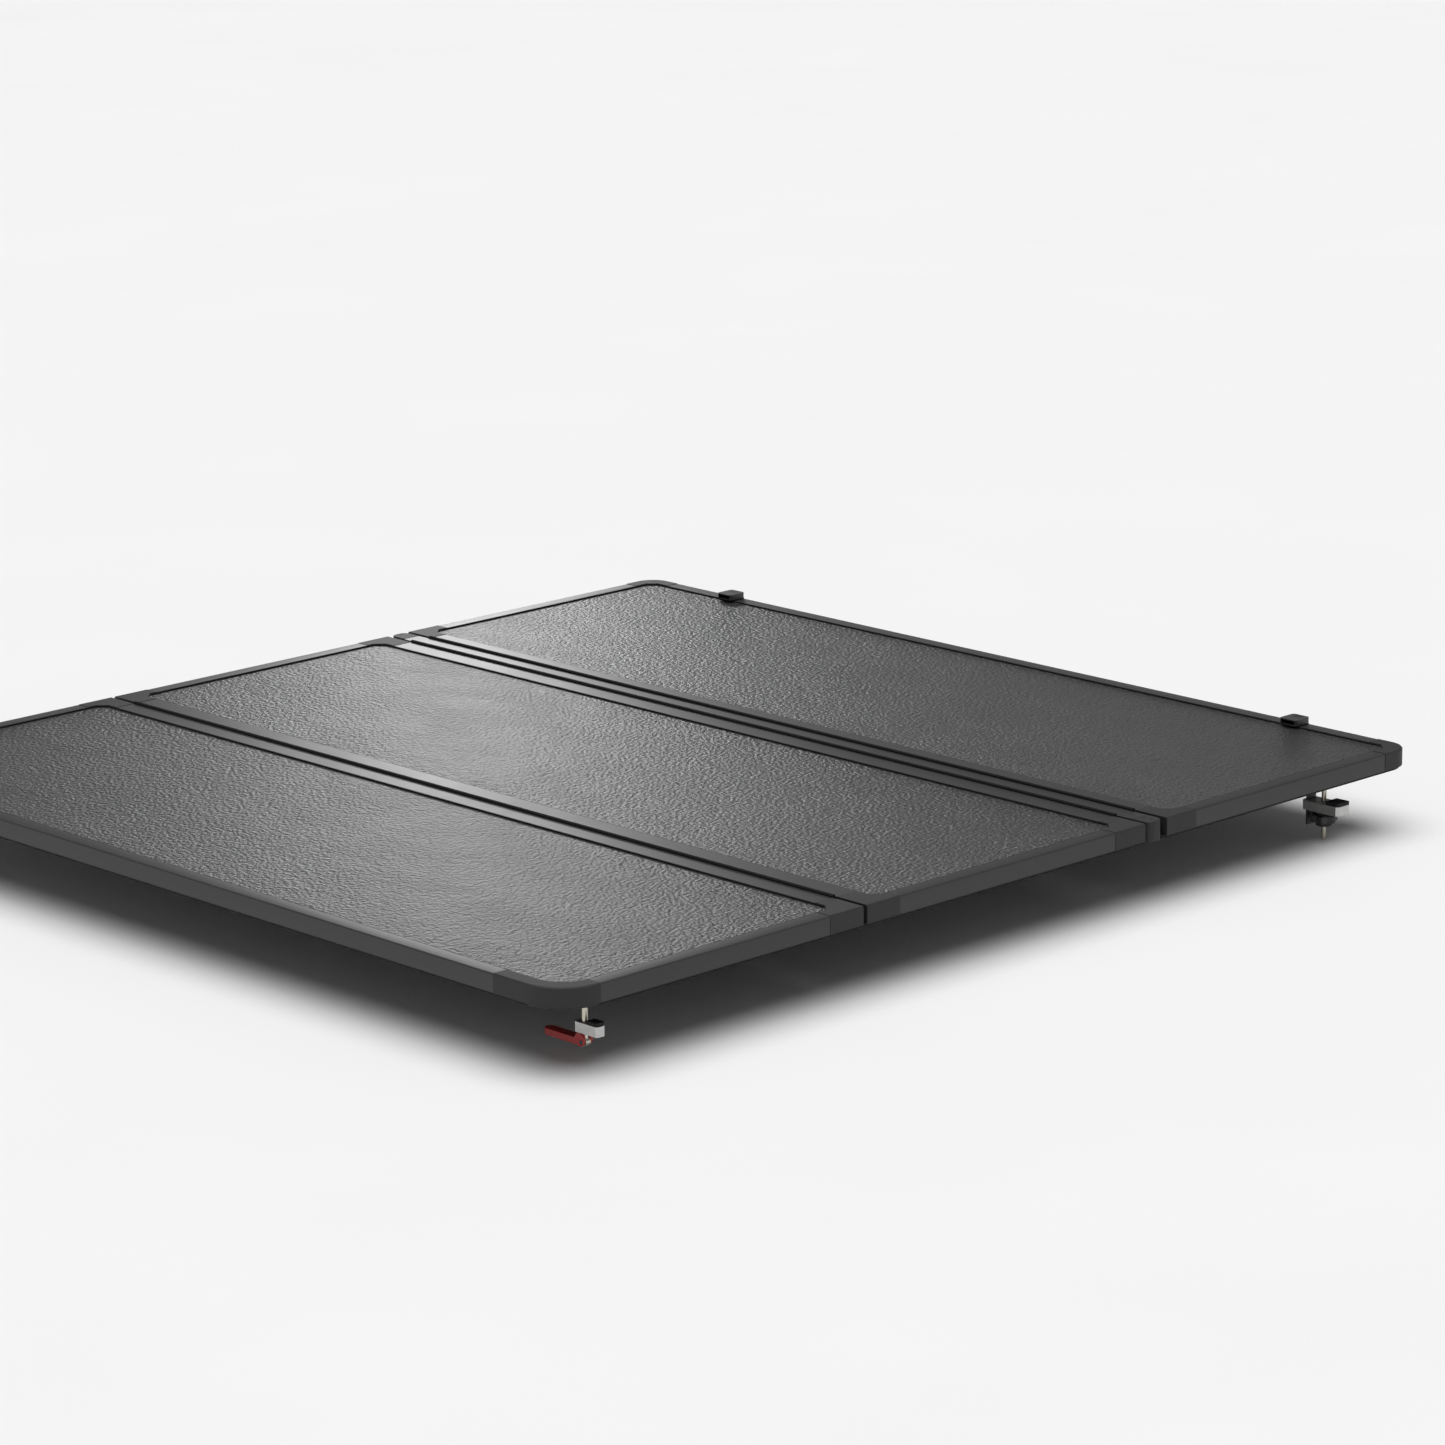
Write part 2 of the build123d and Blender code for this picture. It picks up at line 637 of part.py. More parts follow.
def make_storage_straps():
    """Webbing and buckles at the bulkhead rail, and the tongues that they meet under the middle panel."""
    face = front_edge + strap_air
    band_z = (lip_top, lip_top + strap_thickness)
    buckle_y = (front_edge - buckle_setback - buckle_length, front_edge - buckle_setback)
    buckle_z = (band_z[1], band_z[1] + buckle_thickness)
    mouth_y = (buckle_y[0] - over, buckle_y[0] + buckle_depth)
    mouth_z = (buckle_z[0] + buckle_wall, buckle_z[1] - buckle_wall)
    plate_y = rear_axis + half_gap + tongue_from_fold
    plate_z = (panel_bottom - tongue_plate_thickness, panel_bottom)
    blade_z = (plate_z[0] - tongue_thickness / 2, plate_z[0] + tongue_thickness / 2)
    webbings = []
    buckles = []
    tongues = []
    for side in SIDES.values():
        x = side * (half_width - strap_side_inset)
        strap_x = (x - strap_width / 2, x + strap_width / 2)
        tongue_x = (x - tongue_width / 2, x + tongue_width / 2)
        buckle_x = (x - buckle_width / 2, x + buckle_width / 2)
        band = block(strap_x, (face, face + strap_thickness), (frame_bottom + strap_drop, band_z[1]))
        band += block(strap_x, (front_edge - end_lip + strap_from_window, face), band_z)
        webbings.append(band)
        buckle = fillet(block(buckle_x, buckle_y, buckle_z).edges().filter_by(Axis.Z), buckle_radius)
        buckles.append(buckle - block(tongue_x, mouth_y, mouth_z))
        plate = block(strap_x, (plate_y, plate_y + tongue_plate_length), plate_z)
        blade = block(tongue_x, (plate_y - tongue_length, plate_y), blade_z)
        tongues.append(plate + fillet(blade.edges().filter_by(Axis.Z), tongue_radius))
    nodes["storage_strap_webbings"] = Part() + webbings
    nodes["storage_strap_buckles"] = Part() + buckles
    nodes["storage_strap_tongues"] = Part() + tongues


make_panels()
make_hinge_bar()
make_seals()
make_bumpers()
make_front_clamps()
make_rear_clamps()
make_storage_straps()

os.makedirs("parts", exist_ok=True)
for node, shape in nodes.items():
    export_step(Compound(children=list(shape.solids()), label=node), f"parts/{node}.step")
print(len(nodes), "nodes")
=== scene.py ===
"""Hard tri-fold tonneau cover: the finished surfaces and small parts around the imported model.

Metres, in the model's own frame: X to the vehicle's right, Y to the cab, Z up.
"""
import json
import math

import bmesh
import bpy
from mathutils import Matrix, Vector


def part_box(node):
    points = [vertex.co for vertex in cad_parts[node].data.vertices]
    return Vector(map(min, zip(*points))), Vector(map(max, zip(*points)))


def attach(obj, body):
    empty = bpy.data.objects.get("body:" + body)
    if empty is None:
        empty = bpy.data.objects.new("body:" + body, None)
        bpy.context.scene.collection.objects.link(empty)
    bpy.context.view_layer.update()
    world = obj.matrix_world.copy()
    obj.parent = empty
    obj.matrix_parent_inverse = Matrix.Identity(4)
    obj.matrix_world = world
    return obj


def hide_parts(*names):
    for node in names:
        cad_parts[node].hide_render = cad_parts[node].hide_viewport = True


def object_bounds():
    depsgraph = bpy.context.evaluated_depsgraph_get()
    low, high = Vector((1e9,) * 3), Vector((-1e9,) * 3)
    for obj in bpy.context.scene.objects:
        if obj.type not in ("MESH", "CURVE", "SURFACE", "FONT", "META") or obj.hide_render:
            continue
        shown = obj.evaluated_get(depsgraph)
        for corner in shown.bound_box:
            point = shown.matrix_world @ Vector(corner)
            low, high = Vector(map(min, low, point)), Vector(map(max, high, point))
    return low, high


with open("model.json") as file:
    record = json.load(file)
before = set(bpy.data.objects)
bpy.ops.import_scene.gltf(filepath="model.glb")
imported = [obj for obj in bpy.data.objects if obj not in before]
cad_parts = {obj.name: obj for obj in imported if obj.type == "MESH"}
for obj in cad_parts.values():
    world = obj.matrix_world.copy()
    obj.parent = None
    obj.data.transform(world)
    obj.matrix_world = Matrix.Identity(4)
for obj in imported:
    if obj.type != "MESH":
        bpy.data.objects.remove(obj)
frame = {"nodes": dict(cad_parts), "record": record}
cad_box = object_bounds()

MM = 0.001
SIDES = {"left": -1, "right": 1}
PANELS = ("tail_panel", "middle_panel", "front_panel")

# Roundings of edges
edge_round = 0.45 * MM
pin_round = 0.5 * MM
cap_round = 0.6 * MM
pad_round = 0.8 * MM
jaw_round = 0.9 * MM
buckle_round = 1.0 * MM
lever_round = 1.1 * MM

# Skin windows and the bead round them
window_chamfer = 14 * MM
tail_window_radius = 44 * MM
gasket_width = 1.5 * MM
gasket_height = 2.3 * MM

# Seals and folds
side_seal_width = 14 * MM
seal_base = 1.6 * MM
seal_bulb = 1.35 * MM
seal_drop = 1.15 * MM
seal_lip = 3.5 * MM
knuckle_reach = 3.45 * MM
fold_gap = 7.0 * MM
fold_strip_bottom = 0.4 * MM

# Screws, studs and straps
clamp_screw_radius = 5.5 * MM
clamp_screw_height = 3.0 * MM
bar_screw_radius = 2.5 * MM
bar_screw_height = 1.3 * MM
bar_screw_spacing = 14 * MM
screw_seed = 3
stud_radius = 4.0 * MM
thread_pitch = 1.25 * MM
thread_depth = 0.55 * MM
strap_width = 25 * MM
strap_thickness = 1.6 * MM
strap_bend = 2.0 * MM

UNDERNEATH = (math.pi, 0.0, 0.0)
ALONG_Y = (math.pi / 2, 0.0, 0.0)
ALONG_X = (0.0, math.pi / 2, 0.0)


# ---- node graphs

class Term:
    """A socket in an expression. Arithmetic on it adds the Math nodes that work it out."""

    def __init__(self, graph, socket):
        self.graph = graph
        self.socket = socket

    def maths(self, operation, *values):
        return self.graph.node("ShaderNodeMath", {"operation": operation}, dict(enumerate(values)))

    def __add__(self, other):
        return self.maths("ADD", self, other)

    def __radd__(self, other):
        return self.maths("ADD", other, self)

    def __sub__(self, other):
        return self.maths("SUBTRACT", self, other)

    def __rsub__(self, other):
        return self.maths("SUBTRACT", other, self)

    def __mul__(self, other):
        return self.maths("MULTIPLY", self, other)

    def __rmul__(self, other):
        return self.maths("MULTIPLY", other, self)

    def __truediv__(self, other):
        return self.maths("DIVIDE", self, other)

    def sine(self):
        return self.maths("SINE", self)


class Graph:
    """A node tree that is built one node at a time."""

    def __init__(self, tree):
        self.tree = tree

    def node(self, kind, settings=None, inputs=None, output=0):
        """Adds a node: its settings first, then the values or links of its sockets."""
        made = self.tree.nodes.new(kind)
        for name, value in (settings or {}).items():
            setattr(made, name, value)
        for name, value in (inputs or {}).items():
            if isinstance(value, Term):
                self.tree.links.new(value.socket, made.inputs[name])
            else:
                made.inputs[name].default_value = value
        return Term(self, made.outputs[output])


class Look(Graph):
    """One procedural finish."""

    def __init__(self, name):
        self.material = bpy.data.materials.new(name)
        self.material.use_nodes = True
        super().__init__(self.material.node_tree)
        self.shader = self.tree.nodes["Principled BSDF"]
        self.place = self.node("ShaderNodeTexCoord", output="Object")

    def parts(self):
        """The place's X, Y and Z as three terms."""
        split = self.node("ShaderNodeSeparateXYZ", inputs={0: self.place})
        return [Term(self, socket) for socket in split.socket.node.outputs]

    def stretched(self, scale):
        return self.node("ShaderNodeMapping", inputs={"Vector": self.place, "Scale": scale})

    def noise(self, scale, detail=2.0, roughness=0.5, vector=None):
        inputs = {"Vector": vector or self.place, "Scale": scale, "Detail": detail, "Roughness": roughness}
        return self.node("ShaderNodeTexNoise", inputs=inputs)

    def cells(self, scale, feature="F1"):
        inputs = {"Vector": self.place, "Scale": scale}
        return self.node("ShaderNodeTexVoronoi", {"feature": feature}, inputs, "Distance")

    def step(self, value, low, high):
        """0 below low, 1 above high, and smooth between."""
        inputs = {"Value": value, "From Min": low, "From Max": high}
        return self.node("ShaderNodeMapRange", {"interpolation_type": "SMOOTHSTEP"}, inputs)

    def mix(self, factor, first, second):
        """A colour between two colours."""
        inputs = {0: factor, 6: first, 7: second}
        return self.node("ShaderNodeMix", {"data_type": "RGBA"}, inputs, 2)

    def bump(self, height, distance, strength=1.0):
        inputs = {"Height": height, "Distance": distance, "Strength": strength}
        return self.node("ShaderNodeBump", inputs=inputs)

    def finish(self, **sockets):
        """Sets the shader's sockets. Names are given with underscores."""
        for name, value in sockets.items():
            socket = self.shader.inputs[name.replace("_", " ")]
            if isinstance(value, Term):
                self.tree.links.new(value.socket, socket)
            else:
                socket.default_value = value
        return self.material


def grey(level, warmth=0.0):
    return (level * (1 + warmth), level, level * (1 - warmth), 1.0)


# ---- finishes

def pebbled_skin():
    """Charcoal fibreglass with a pebbled grain of 4 to 7 mm, a little stronger in broad patches; lighter
    specks where the fine grain rises are partly the sheet's own tone and partly painted glints.
    """
    look = Look("pebbled_skin")
    pebbles = look.cells(190.0, "SMOOTH_F1")
    fine = look.noise(300.0, 4.0, 0.66)
    patches = look.step(look.noise(7.0, 3.0, 0.55, look.stretched((1.0, 1.9, 1.0))), 0.38, 0.62)
    height = ((1 - pebbles) * 1.1 + fine * 0.6) * (0.8 + patches * 0.2)
    # Lighter specks where the fine grain rises: partly the sheet's own tone, partly painted glints.
    speckle_and_painted_glint = look.step(fine, 0.38, 0.66)
    return look.finish(
        Base_Color=look.mix(speckle_and_painted_glint * 0.83, grey(0.006), grey(0.052, -0.01)),
        Roughness=0.24 + fine * 0.28,
        Normal=look.bump(height, 2.2 * MM, 0.9),
        Specular_IOR_Level=0.5,
    )


def powder_coat(name, level, roughness):
    """Satin black powder coat: a fine orange peel, faintly uneven in shade and gloss."""
    look = Look(name)
    peel = look.noise(1500.0, 2.0)
    cloud = look.noise(9.0, 4.0, 0.6)
    colour = look.mix(cloud, grey(level * 0.85), grey(level * 1.2))
    return look.finish(
        Base_Color=colour,
        Roughness=roughness - 0.04 + cloud * 0.08 + peel * 0.03,
        Normal=look.bump(peel, 0.09 * MM, 0.55),
    )


def moulded(name, colour, roughness, grain=0.12 * MM, scale=1100.0):
    """Moulded plastic or rubber with a fine spark-eroded grain."""
    look = Look(name)
    fine = look.noise(scale, 3.0, 0.6)
    cloud = look.noise(14.0, 3.0)
    darker = tuple(0.8 * part for part in colour) + (1.0,)
    lighter = tuple(1.2 * part for part in colour) + (1.0,)
    return look.finish(
        Base_Color=look.mix(cloud * 0.6 + fine * 0.4, darker, lighter),
        Roughness=roughness - 0.06 + fine * 0.12,
        Normal=look.bump(fine, grain, 0.6),
    )


def rubber(name, level):
    """Matt extruded rubber with a fine grain and a dusty bloom."""
    look = Look(name)
    grain = look.noise(60.0, 2.0, 0.5, look.stretched((30.0, 30.0, 60.0)))
    bloom = look.noise(22.0, 4.0, 0.65)
    return look.finish(
        Base_Color=look.mix(bloom, grey(level * 0.7), grey(level * 1.4)),
        Roughness=0.74 + bloom * 0.16,
        Normal=look.bump(grain, 0.08 * MM, 0.5),
        Specular_IOR_Level=0.28,
    )


def smooth_liner():
    """The liner: a thin dark grey sheet with a faint woven print-through."""
    look = Look("panel_liner_sheet")
    x, y, _z = look.parts()
    weave = (x * 1800.0).sine() * (y * 1800.0).sine()
    cloud = look.noise(6.0, 4.0, 0.6)
    return look.finish(
        Base_Color=look.mix(cloud, grey(0.045), grey(0.075)),
        Roughness=0.42 + cloud * 0.14,
        Normal=look.bump(weave * 0.5 + cloud * 3.0, 0.05 * MM, 0.5),
    )


def foam():
    """Pale rigid foam with closed cells."""
    look = Look("core_foam")
    pores = look.cells(700.0)
    cloud = look.noise(30.0, 3.0)
    return look.finish(
        Base_Color=look.mix(pores * 1.4, (0.62, 0.59, 0.48, 1.0), (0.83, 0.81, 0.72, 1.0)),
        Roughness=0.85 + cloud * 0.1,
        Normal=look.bump(pores, 0.3 * MM, 0.7),
    )


def metal(name, colour, roughness, tint=None, brush=(1.0, 1.0, 1.0)):
    """Bare or plated metal, with tooling marks stretched the way that brush gives."""
    look = Look(name)
    marks = look.noise(420.0, 3.0, 0.6, look.stretched(brush))
    cloud = look.noise(55.0, 3.0, 0.6)
    second = tint or tuple(part * 0.72 for part in colour)
    return look.finish(
        Base_Color=look.mix(cloud, tuple(colour) + (1.0,), tuple(second) + (1.0,)),
        Roughness=roughness - 0.08 + marks * 0.16,
        Metallic=1.0,
        Normal=look.bump(marks, 0.06 * MM, 0.5),
    )


def cast_metal():
    """Tumbled cast aluminium: soft pits and dull high spots."""
    look = Look("cast_aluminium")
    pits = look.cells(520.0, "SMOOTH_F1")
    cloud = look.noise(90.0, 4.0, 0.65)
    return look.finish(
        Base_Color=look.mix(cloud, (0.45, 0.45, 0.44, 1.0), (0.66, 0.66, 0.65, 1.0)),
        Roughness=0.38 + cloud * 0.2,
        Metallic=1.0,
        Normal=look.bump(pits + cloud * 0.6, 0.18 * MM, 0.5),
    )


def webbing():
    """Woven strap: warp ribs 1.6 mm apart, crossed by a weft every 1.3 mm, also below the bend."""
    look = Look("woven_webbing")
    x, y, z = look.parts()
    along = (y - z) * (2 * math.pi / (1.3 * MM))
    across = x * (2 * math.pi / (1.6 * MM))
    ribs = across.sine()
    weft = (along + ribs * 1.2).sine()
    fuzz = look.noise(2600.0, 3.0, 0.7)
    thread = (ribs * 0.5 + 0.5) * (weft * 0.35 + 0.65)
    return look.finish(
        Base_Color=look.mix(thread * 0.75 + fuzz * 0.25, grey(0.010), grey(0.045)),
        Roughness=0.78 + fuzz * 0.15,
        Normal=look.bump(thread + fuzz * 0.3, 0.3 * MM, 0.8),
        Sheen_Weight=0.15,
    )


def sewing_thread():
    """Twisted polyester thread."""
    look = Look("sewing_thread")
    twist = look.noise(5200.0, 2.0)
    return look.finish(
        Base_Color=look.mix(twist, grey(0.03), grey(0.085)),
        Roughness=0.7 + twist * 0.1,
        Normal=look.bump(twist, 0.1 * MM, 0.6),
    )


def studio_floor():
    """Pale seamless floor with the faintest unevenness."""
    look = Look("studio_floor")
    cloud = look.noise(1.6, 3.0)
    return look.finish(
        Base_Color=look.mix(cloud, grey(0.80), grey(0.84)),
        Roughness=0.85 + cloud * 0.05,
        Specular_IOR_Level=0.2,
    )


FINISH = {
    "panel_skin": pebbled_skin(),
    "panel_core": foam(),
    "panel_liner": smooth_liner(),
    "rail_coating": powder_coat("rail_powder_coat", 0.019, 0.43),
    "cap_plastic": moulded("cap_plastic_grain", (0.011, 0.011, 0.0115), 0.62),
    "seal_rubber": rubber("seal_rubber_matt", 0.010),
    "pad_rubber": rubber("pad_rubber_matt", 0.018),
    "bracket_coating": powder_coat("bracket_powder_coat", 0.034, 0.42),
    "jaw_aluminium": cast_metal(),
    "knob_plastic": moulded("knob_nylon", (0.028, 0.028, 0.029), 0.48, 0.15 * MM, 800.0),
    "lever_plastic": moulded("lever_nylon", (0.36, 0.018, 0.016), 0.42, 0.1 * MM, 800.0),
    "pin_steel": metal("black_oxide", (0.10, 0.10, 0.105), 0.42, brush=(8.0, 1.0, 1.0)),
    "stud_steel": metal("zinc_plate", (0.60, 0.59, 0.55), 0.32, (0.56, 0.52, 0.38)),
    "screw_steel": metal("black_screw", (0.13, 0.13, 0.135), 0.4),
    "strap_webbing": webbing(),
    "buckle_plastic": moulded("buckle_acetal", (0.024, 0.024, 0.025), 0.34, 0.05 * MM, 1400.0),
}
# Knuckles and hinge pins: a near-black matt rubber whose darkness is painted shade for the hinge grooves.
KNUCKLE_GROOVE_SHADE = rubber("hinge_sleeve", 0.0045)
# A black bead along the lips' inner edges: partly a rubber part, partly painted shade for the lips' shaded
# inner walls.
GASKET_SHADE_LINE = rubber("window_gasket", 0.006)
THREAD = sewing_thread()


# ---- meshes

def add_object(name, data):
    made = bpy.data.objects.new(name, data)
    bpy.context.scene.collection.objects.link(made)
    return made


def smooth(mesh, angle=35.0):
    """Smooth shading, with a crease wherever faces meet more sharply than the angle."""
    mesh.shade_smooth()
    mesh.set_sharp_from_angle(angle=math.radians(angle))


def settled(made):
    """Turns a modified object into a plain mesh, with its modifiers gone."""
    bpy.context.view_layer.update()
    depsgraph = bpy.context.evaluated_depsgraph_get()
    mesh = bpy.data.meshes.new_from_object(made.evaluated_get(depsgraph))
    made.modifiers.clear()
    made.data = mesh
    return made


def outward(mesh):
    """Merges doubles and points the faces out."""
    work = bmesh.new()
    work.from_mesh(mesh)
    bmesh.ops.remove_doubles(work, verts=work.verts, dist=1e-6)
    bmesh.ops.recalc_face_normals(work, faces=work.faces)
    work.to_mesh(mesh)
    work.free()


def place(piece, slot_name, body, *nodes):
    """Gives a piece the finish of its slot if it has none, hides the CAD nodes it stands for and hangs it on
    its body.
    """
    if not piece.data.materials:
        piece.data.materials.append(FINISH[slot_name])
    if nodes:
        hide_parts(*nodes)
    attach(piece, body)


def body_of(node):
    """The body that a CAD node belongs to."""
    for body, members in frame["record"]["behaviour"]["bodies"].items():
        if node in members:
            return body
    raise KeyError(node)


def slot_of(node):
    """The record's material slot of a CAD node."""
    for part in frame["record"]["subparts"]:
        if part["node"] == node:
            return part["material_slot"]
    raise KeyError(node)


def clean_copy(node):
    """The CAD node's shape as a mesh with shared corners and whole flat faces."""
    mesh = frame["nodes"][node].data.copy()
    mesh.materials.clear()
    work = bmesh.new()
    work.from_mesh(mesh)
    bmesh.ops.remove_doubles(work, verts=work.verts, dist=2e-6)
    bmesh.ops.dissolve_limit(
        work, angle_limit=math.radians(0.6), verts=work.verts, edges=work.edges, use_dissolve_boundaries=False
    )
    work.to_mesh(mesh)
    work.free()
    return mesh


def softened(node, width=edge_round, angle=38.0, segments=2):
    """A CAD node with its hard edges rounded as a die, a mould or tumbling leaves them."""
    piece = add_object(f"{node}_finished", clean_copy(node))
    rounding = piece.modifiers.new("rounding", "BEVEL")
    rounding.width = width
    rounding.segments = segments
    rounding.limit_method = "ANGLE"
    rounding.angle_limit = math.radians(angle)
    rounding.miter_outer = "MITER_ARC"
    rounding.use_clamp_overlap = True
    settled(piece)
    smooth(piece.data, 50.0)
    even = piece.modifiers.new("even", "WEIGHTED_NORMAL")
    even.keep_sharp = True
    settled(piece)
    return piece


def angles(count):
    """Evenly spaced angles of a full turn."""
    return [2 * math.pi * turn / count for turn in range(count)]


def quarter(first, steps):
    """Angles from first degrees through a quarter turn."""
    return [math.radians(first + 90 * step / steps) for step in range(steps + 1)]


def ring_mesh(name, rings, closed=False):
    """A skin over rings of points: a closed loop of rings, or a run with a flat face at each end."""
    work = bmesh.new()
    rows = [[work.verts.new(point) for point in ring] for ring in rings]
    following_rows = rows[1:] + (rows[:1] if closed else [])
    for here, following in zip(rows, following_rows):
        for index in range(len(here)):
            after = (index + 1) % len(here)
            work.faces.new((here[index], here[after], following[after], following[index]))
    if not closed:
        work.faces.new(rows[0])
        work.faces.new(rows[-1])
    bmesh.ops.remove_doubles(work, verts=work.verts, dist=1e-7)
    bmesh.ops.dissolve_degenerate(work, edges=work.edges, dist=1e-8)
    bmesh.ops.recalc_face_normals(work, faces=work.faces)
    mesh = bpy.data.meshes.new(name)
    work.to_mesh(mesh)
    work.free()
    return mesh


def revolved(name, profile, segments=48):
    """A closed ring of (radius, height) points turned about Z, as a mesh around the origin."""
    rings = [
        [(radius * math.cos(angle), radius * math.sin(angle), height) for angle in angles(segments)]
        for radius, height in profile
    ]
    return ring_mesh(name, rings, closed=True)


def joined(name, meshes):
    """Several (mesh, matrix) pairs as one mesh object at the origin."""
    work = bmesh.new()
    for mesh, matrix in meshes:
        shifted = mesh.copy()
        shifted.transform(matrix)
        work.from_mesh(shifted)
        bpy.data.meshes.remove(shifted)
    mesh = bpy.data.meshes.new(name)
    work.to_mesh(mesh)
    work.free()
    return add_object(name, mesh)


def path_mesh(name, runs):
    """Chains of points joined by edges; a run whose first point comes again at its end is closed."""
    points, edges = [], []
    for run in runs:
        first = len(points)
        closed = len(run) > 2 and (Vector(run[0]) - Vector(run[-1])).length < 1e-9
        kept = run[:-1] if closed else run
        points += [tuple(point) for point in kept]
        edges += [(first + index, first + index + 1) for index in range(len(kept) - 1)]
        if closed:
            edges.append((first + len(kept) - 1, first))
    mesh = bpy.data.meshes.new(name)
    mesh.from_pydata(points, edges, [])
    return add_object(name, mesh)


# ---- Geometry Nodes

class Recipe(Graph):
    """A Geometry Nodes tree with named sizes, which makes one plain mesh at a time."""

    KINDS = {
        "length": "NodeSocketFloat", "count": "NodeSocketInt", "point": "NodeSocketVector",
        "thing": "NodeSocketObject", "finish": "NodeSocketMaterial",
    }

    def __init__(self, name, **sizes):
        super().__init__(bpy.data.node_groups.new(name, "GeometryNodeTree"))
        face = self.tree.interface
        face.new_socket("Geometry", in_out="INPUT", socket_type="NodeSocketGeometry")
        self.sockets = {}
        for label, kind in {**sizes, "Finish": "finish"}.items():
            socket = face.new_socket(label, in_out="INPUT", socket_type=self.KINDS[kind])
            self.sockets[label] = socket.identifier
        face.new_socket("Geometry", in_out="OUTPUT", socket_type="NodeSocketGeometry")
        self.entry = self.tree.nodes.new("NodeGroupInput")
        self.exit = self.tree.nodes.new("NodeGroupOutput")

    def given(self, label):
        return Term(self, self.entry.outputs[label])

    def join(self, *parts):
        made = self.tree.nodes.new("GeometryNodeJoinGeometry")
        for part in parts:
            self.tree.links.new(part.socket, made.inputs[0])
        return Term(self, made.outputs[0])

    def vector(self, x=0.0, y=0.0, z=0.0):
        return self.node("ShaderNodeCombineXYZ", inputs={0: x, 1: y, 2: z})

    def moved(self, geometry, offset):
        return self.node("GeometryNodeTransform", inputs={"Geometry": geometry, "Translation": offset})

    def path(self):
        """The incoming edges as a curve."""
        return self.node("GeometryNodeMeshToCurve", inputs={0: self.given("Geometry")})

    def level(self, curve):
        """Keeps a curve's profile upright."""
        return self.node("GeometryNodeSetCurveNormal", {"mode": "Z_UP"}, {"Curve": curve})

    def strip(self, width, height, radius, count):
        """A flat profile with rounded corners."""
        outline = self.node(
            "GeometryNodeCurvePrimitiveQuadrilateral", inputs={"Width": width, "Height": height}
        )
        inputs = {"Curve": outline, "Count": count, "Radius": radius}
        return self.node("GeometryNodeFilletCurve", {"mode": "POLY"}, inputs)

    def circle(self, radius, count):
        return self.node(
            "GeometryNodeCurvePrimitiveCircle", inputs={"Resolution": count, "Radius": radius}
        )

    def swept(self, curve, profile):
        """A profile drawn along a curve, with closed ends."""
        inputs = {"Curve": curve, "Profile Curve": profile, "Fill Caps": True}
        return self.node("GeometryNodeCurveToMesh", inputs=inputs)

    def cylinder(self, sides, radius, depth, fill="TRIANGLE_FAN"):
        inputs = {"Vertices": sides, "Side Segments": 1, "Fill Segments": 1, "Radius": radius, "Depth": depth}
        return self.node("GeometryNodeMeshCylinder", {"fill_type": fill}, inputs)

    def turn(self, amounts):
        """A rotation from angles about X, Y and Z."""
        return self.node("FunctionNodeEulerToRotation", inputs={0: amounts})

    def scattered(self, points, thing, **more):
        """The thing at each of the points."""
        inputs = {"Points": points, "Instance": thing, **more}
        return self.node("GeometryNodeInstanceOnPoints", inputs=inputs)

    def close(self, geometry):
        """Ends the tree."""
        real = self.node("GeometryNodeRealizeInstances", inputs={0: geometry})
        coated = self.node(
            "GeometryNodeSetMaterial", inputs={"Geometry": real, "Material": self.given("Finish")}
        )
        self.tree.links.new(coated.socket, self.exit.inputs[0])

    def make(self, piece, finish, **sizes):
        """Runs the tree on an object, which becomes a plain mesh."""
        modifier = piece.modifiers.new(self.tree.name, "NODES")
        modifier.node_group = self.tree
        modifier[self.sockets["Finish"]] = finish
        for label, value in sizes.items():
            modifier[self.sockets[label]] = value
        settled(piece)
        outward(piece.data)
        smooth(piece.data)
        return piece


def band_recipe():
    """A rounded flat band along a path."""
    recipe = Recipe("band", Width="length", Thickness="length", Rounding="length")
    profile = recipe.strip(
        recipe.given("Width"), recipe.given("Thickness"), recipe.given("Rounding"), 3
    )
    recipe.close(recipe.swept(recipe.level(recipe.path()), profile))
    return recipe


def seal_recipe():
    """A rubber seal along a path: a flat base, a bulb below it and a thin wiping lip at its outer side."""
    lip_thickness = 0.8 * MM
    lip_inset = 0.9 * MM
    recipe = Recipe(
        "seal_strip", Width="length", Base="length", Bulb="length", Lip="length", Drop="length"
    )
    course = recipe.level(recipe.path())
    base = recipe.strip(recipe.given("Width"), recipe.given("Base"), 0.4 * MM, 2)
    bulb = recipe.moved(recipe.circle(recipe.given("Bulb"), 14), recipe.vector(y=recipe.given("Drop")))
    lip = recipe.moved(
        recipe.strip(lip_thickness, recipe.given("Lip"), 0.3 * MM, 2),
        recipe.vector(x=recipe.given("Width") / 2 - lip_inset, y=recipe.given("Lip") / 2),
    )
    recipe.close(recipe.join(*(recipe.swept(course, profile) for profile in (base, bulb, lip))))
    return recipe


def rib_recipe():
    """Ribs side by side, each a rod half sunk in what it stands on."""
    recipe = Recipe(
        "ribs", Count="count", Start="point", Step="point", Turn="point", Length="length", Radius="length"
    )
    inputs = {
        "Count": recipe.given("Count"), "Start Location": recipe.given("Start"),
        "Offset": recipe.given("Step"),
    }
    row = recipe.node("GeometryNodeMeshLine", {"mode": "OFFSET"}, inputs)
    rib = recipe.cylinder(12, recipe.given("Radius"), recipe.given("Length"))
    recipe.close(recipe.scattered(row, rib, Rotation=recipe.turn(recipe.given("Turn"))))
    return recipe


def ring_rib_recipe():
    """Upright ribs spaced round a circle."""
    recipe = Recipe(
        "ring_ribs", Count="count", Centre="point", Reach="length", Height="length", Radius="length"
    )
    ring = recipe.node(
        "GeometryNodeMeshCircle", inputs={"Vertices": recipe.given("Count"), "Radius": recipe.given("Reach")}
    )
    rib = recipe.cylinder(10, recipe.given("Radius"), recipe.given("Height"))
    recipe.close(recipe.scattered(recipe.moved(ring, recipe.given("Centre")), rib))
    return recipe


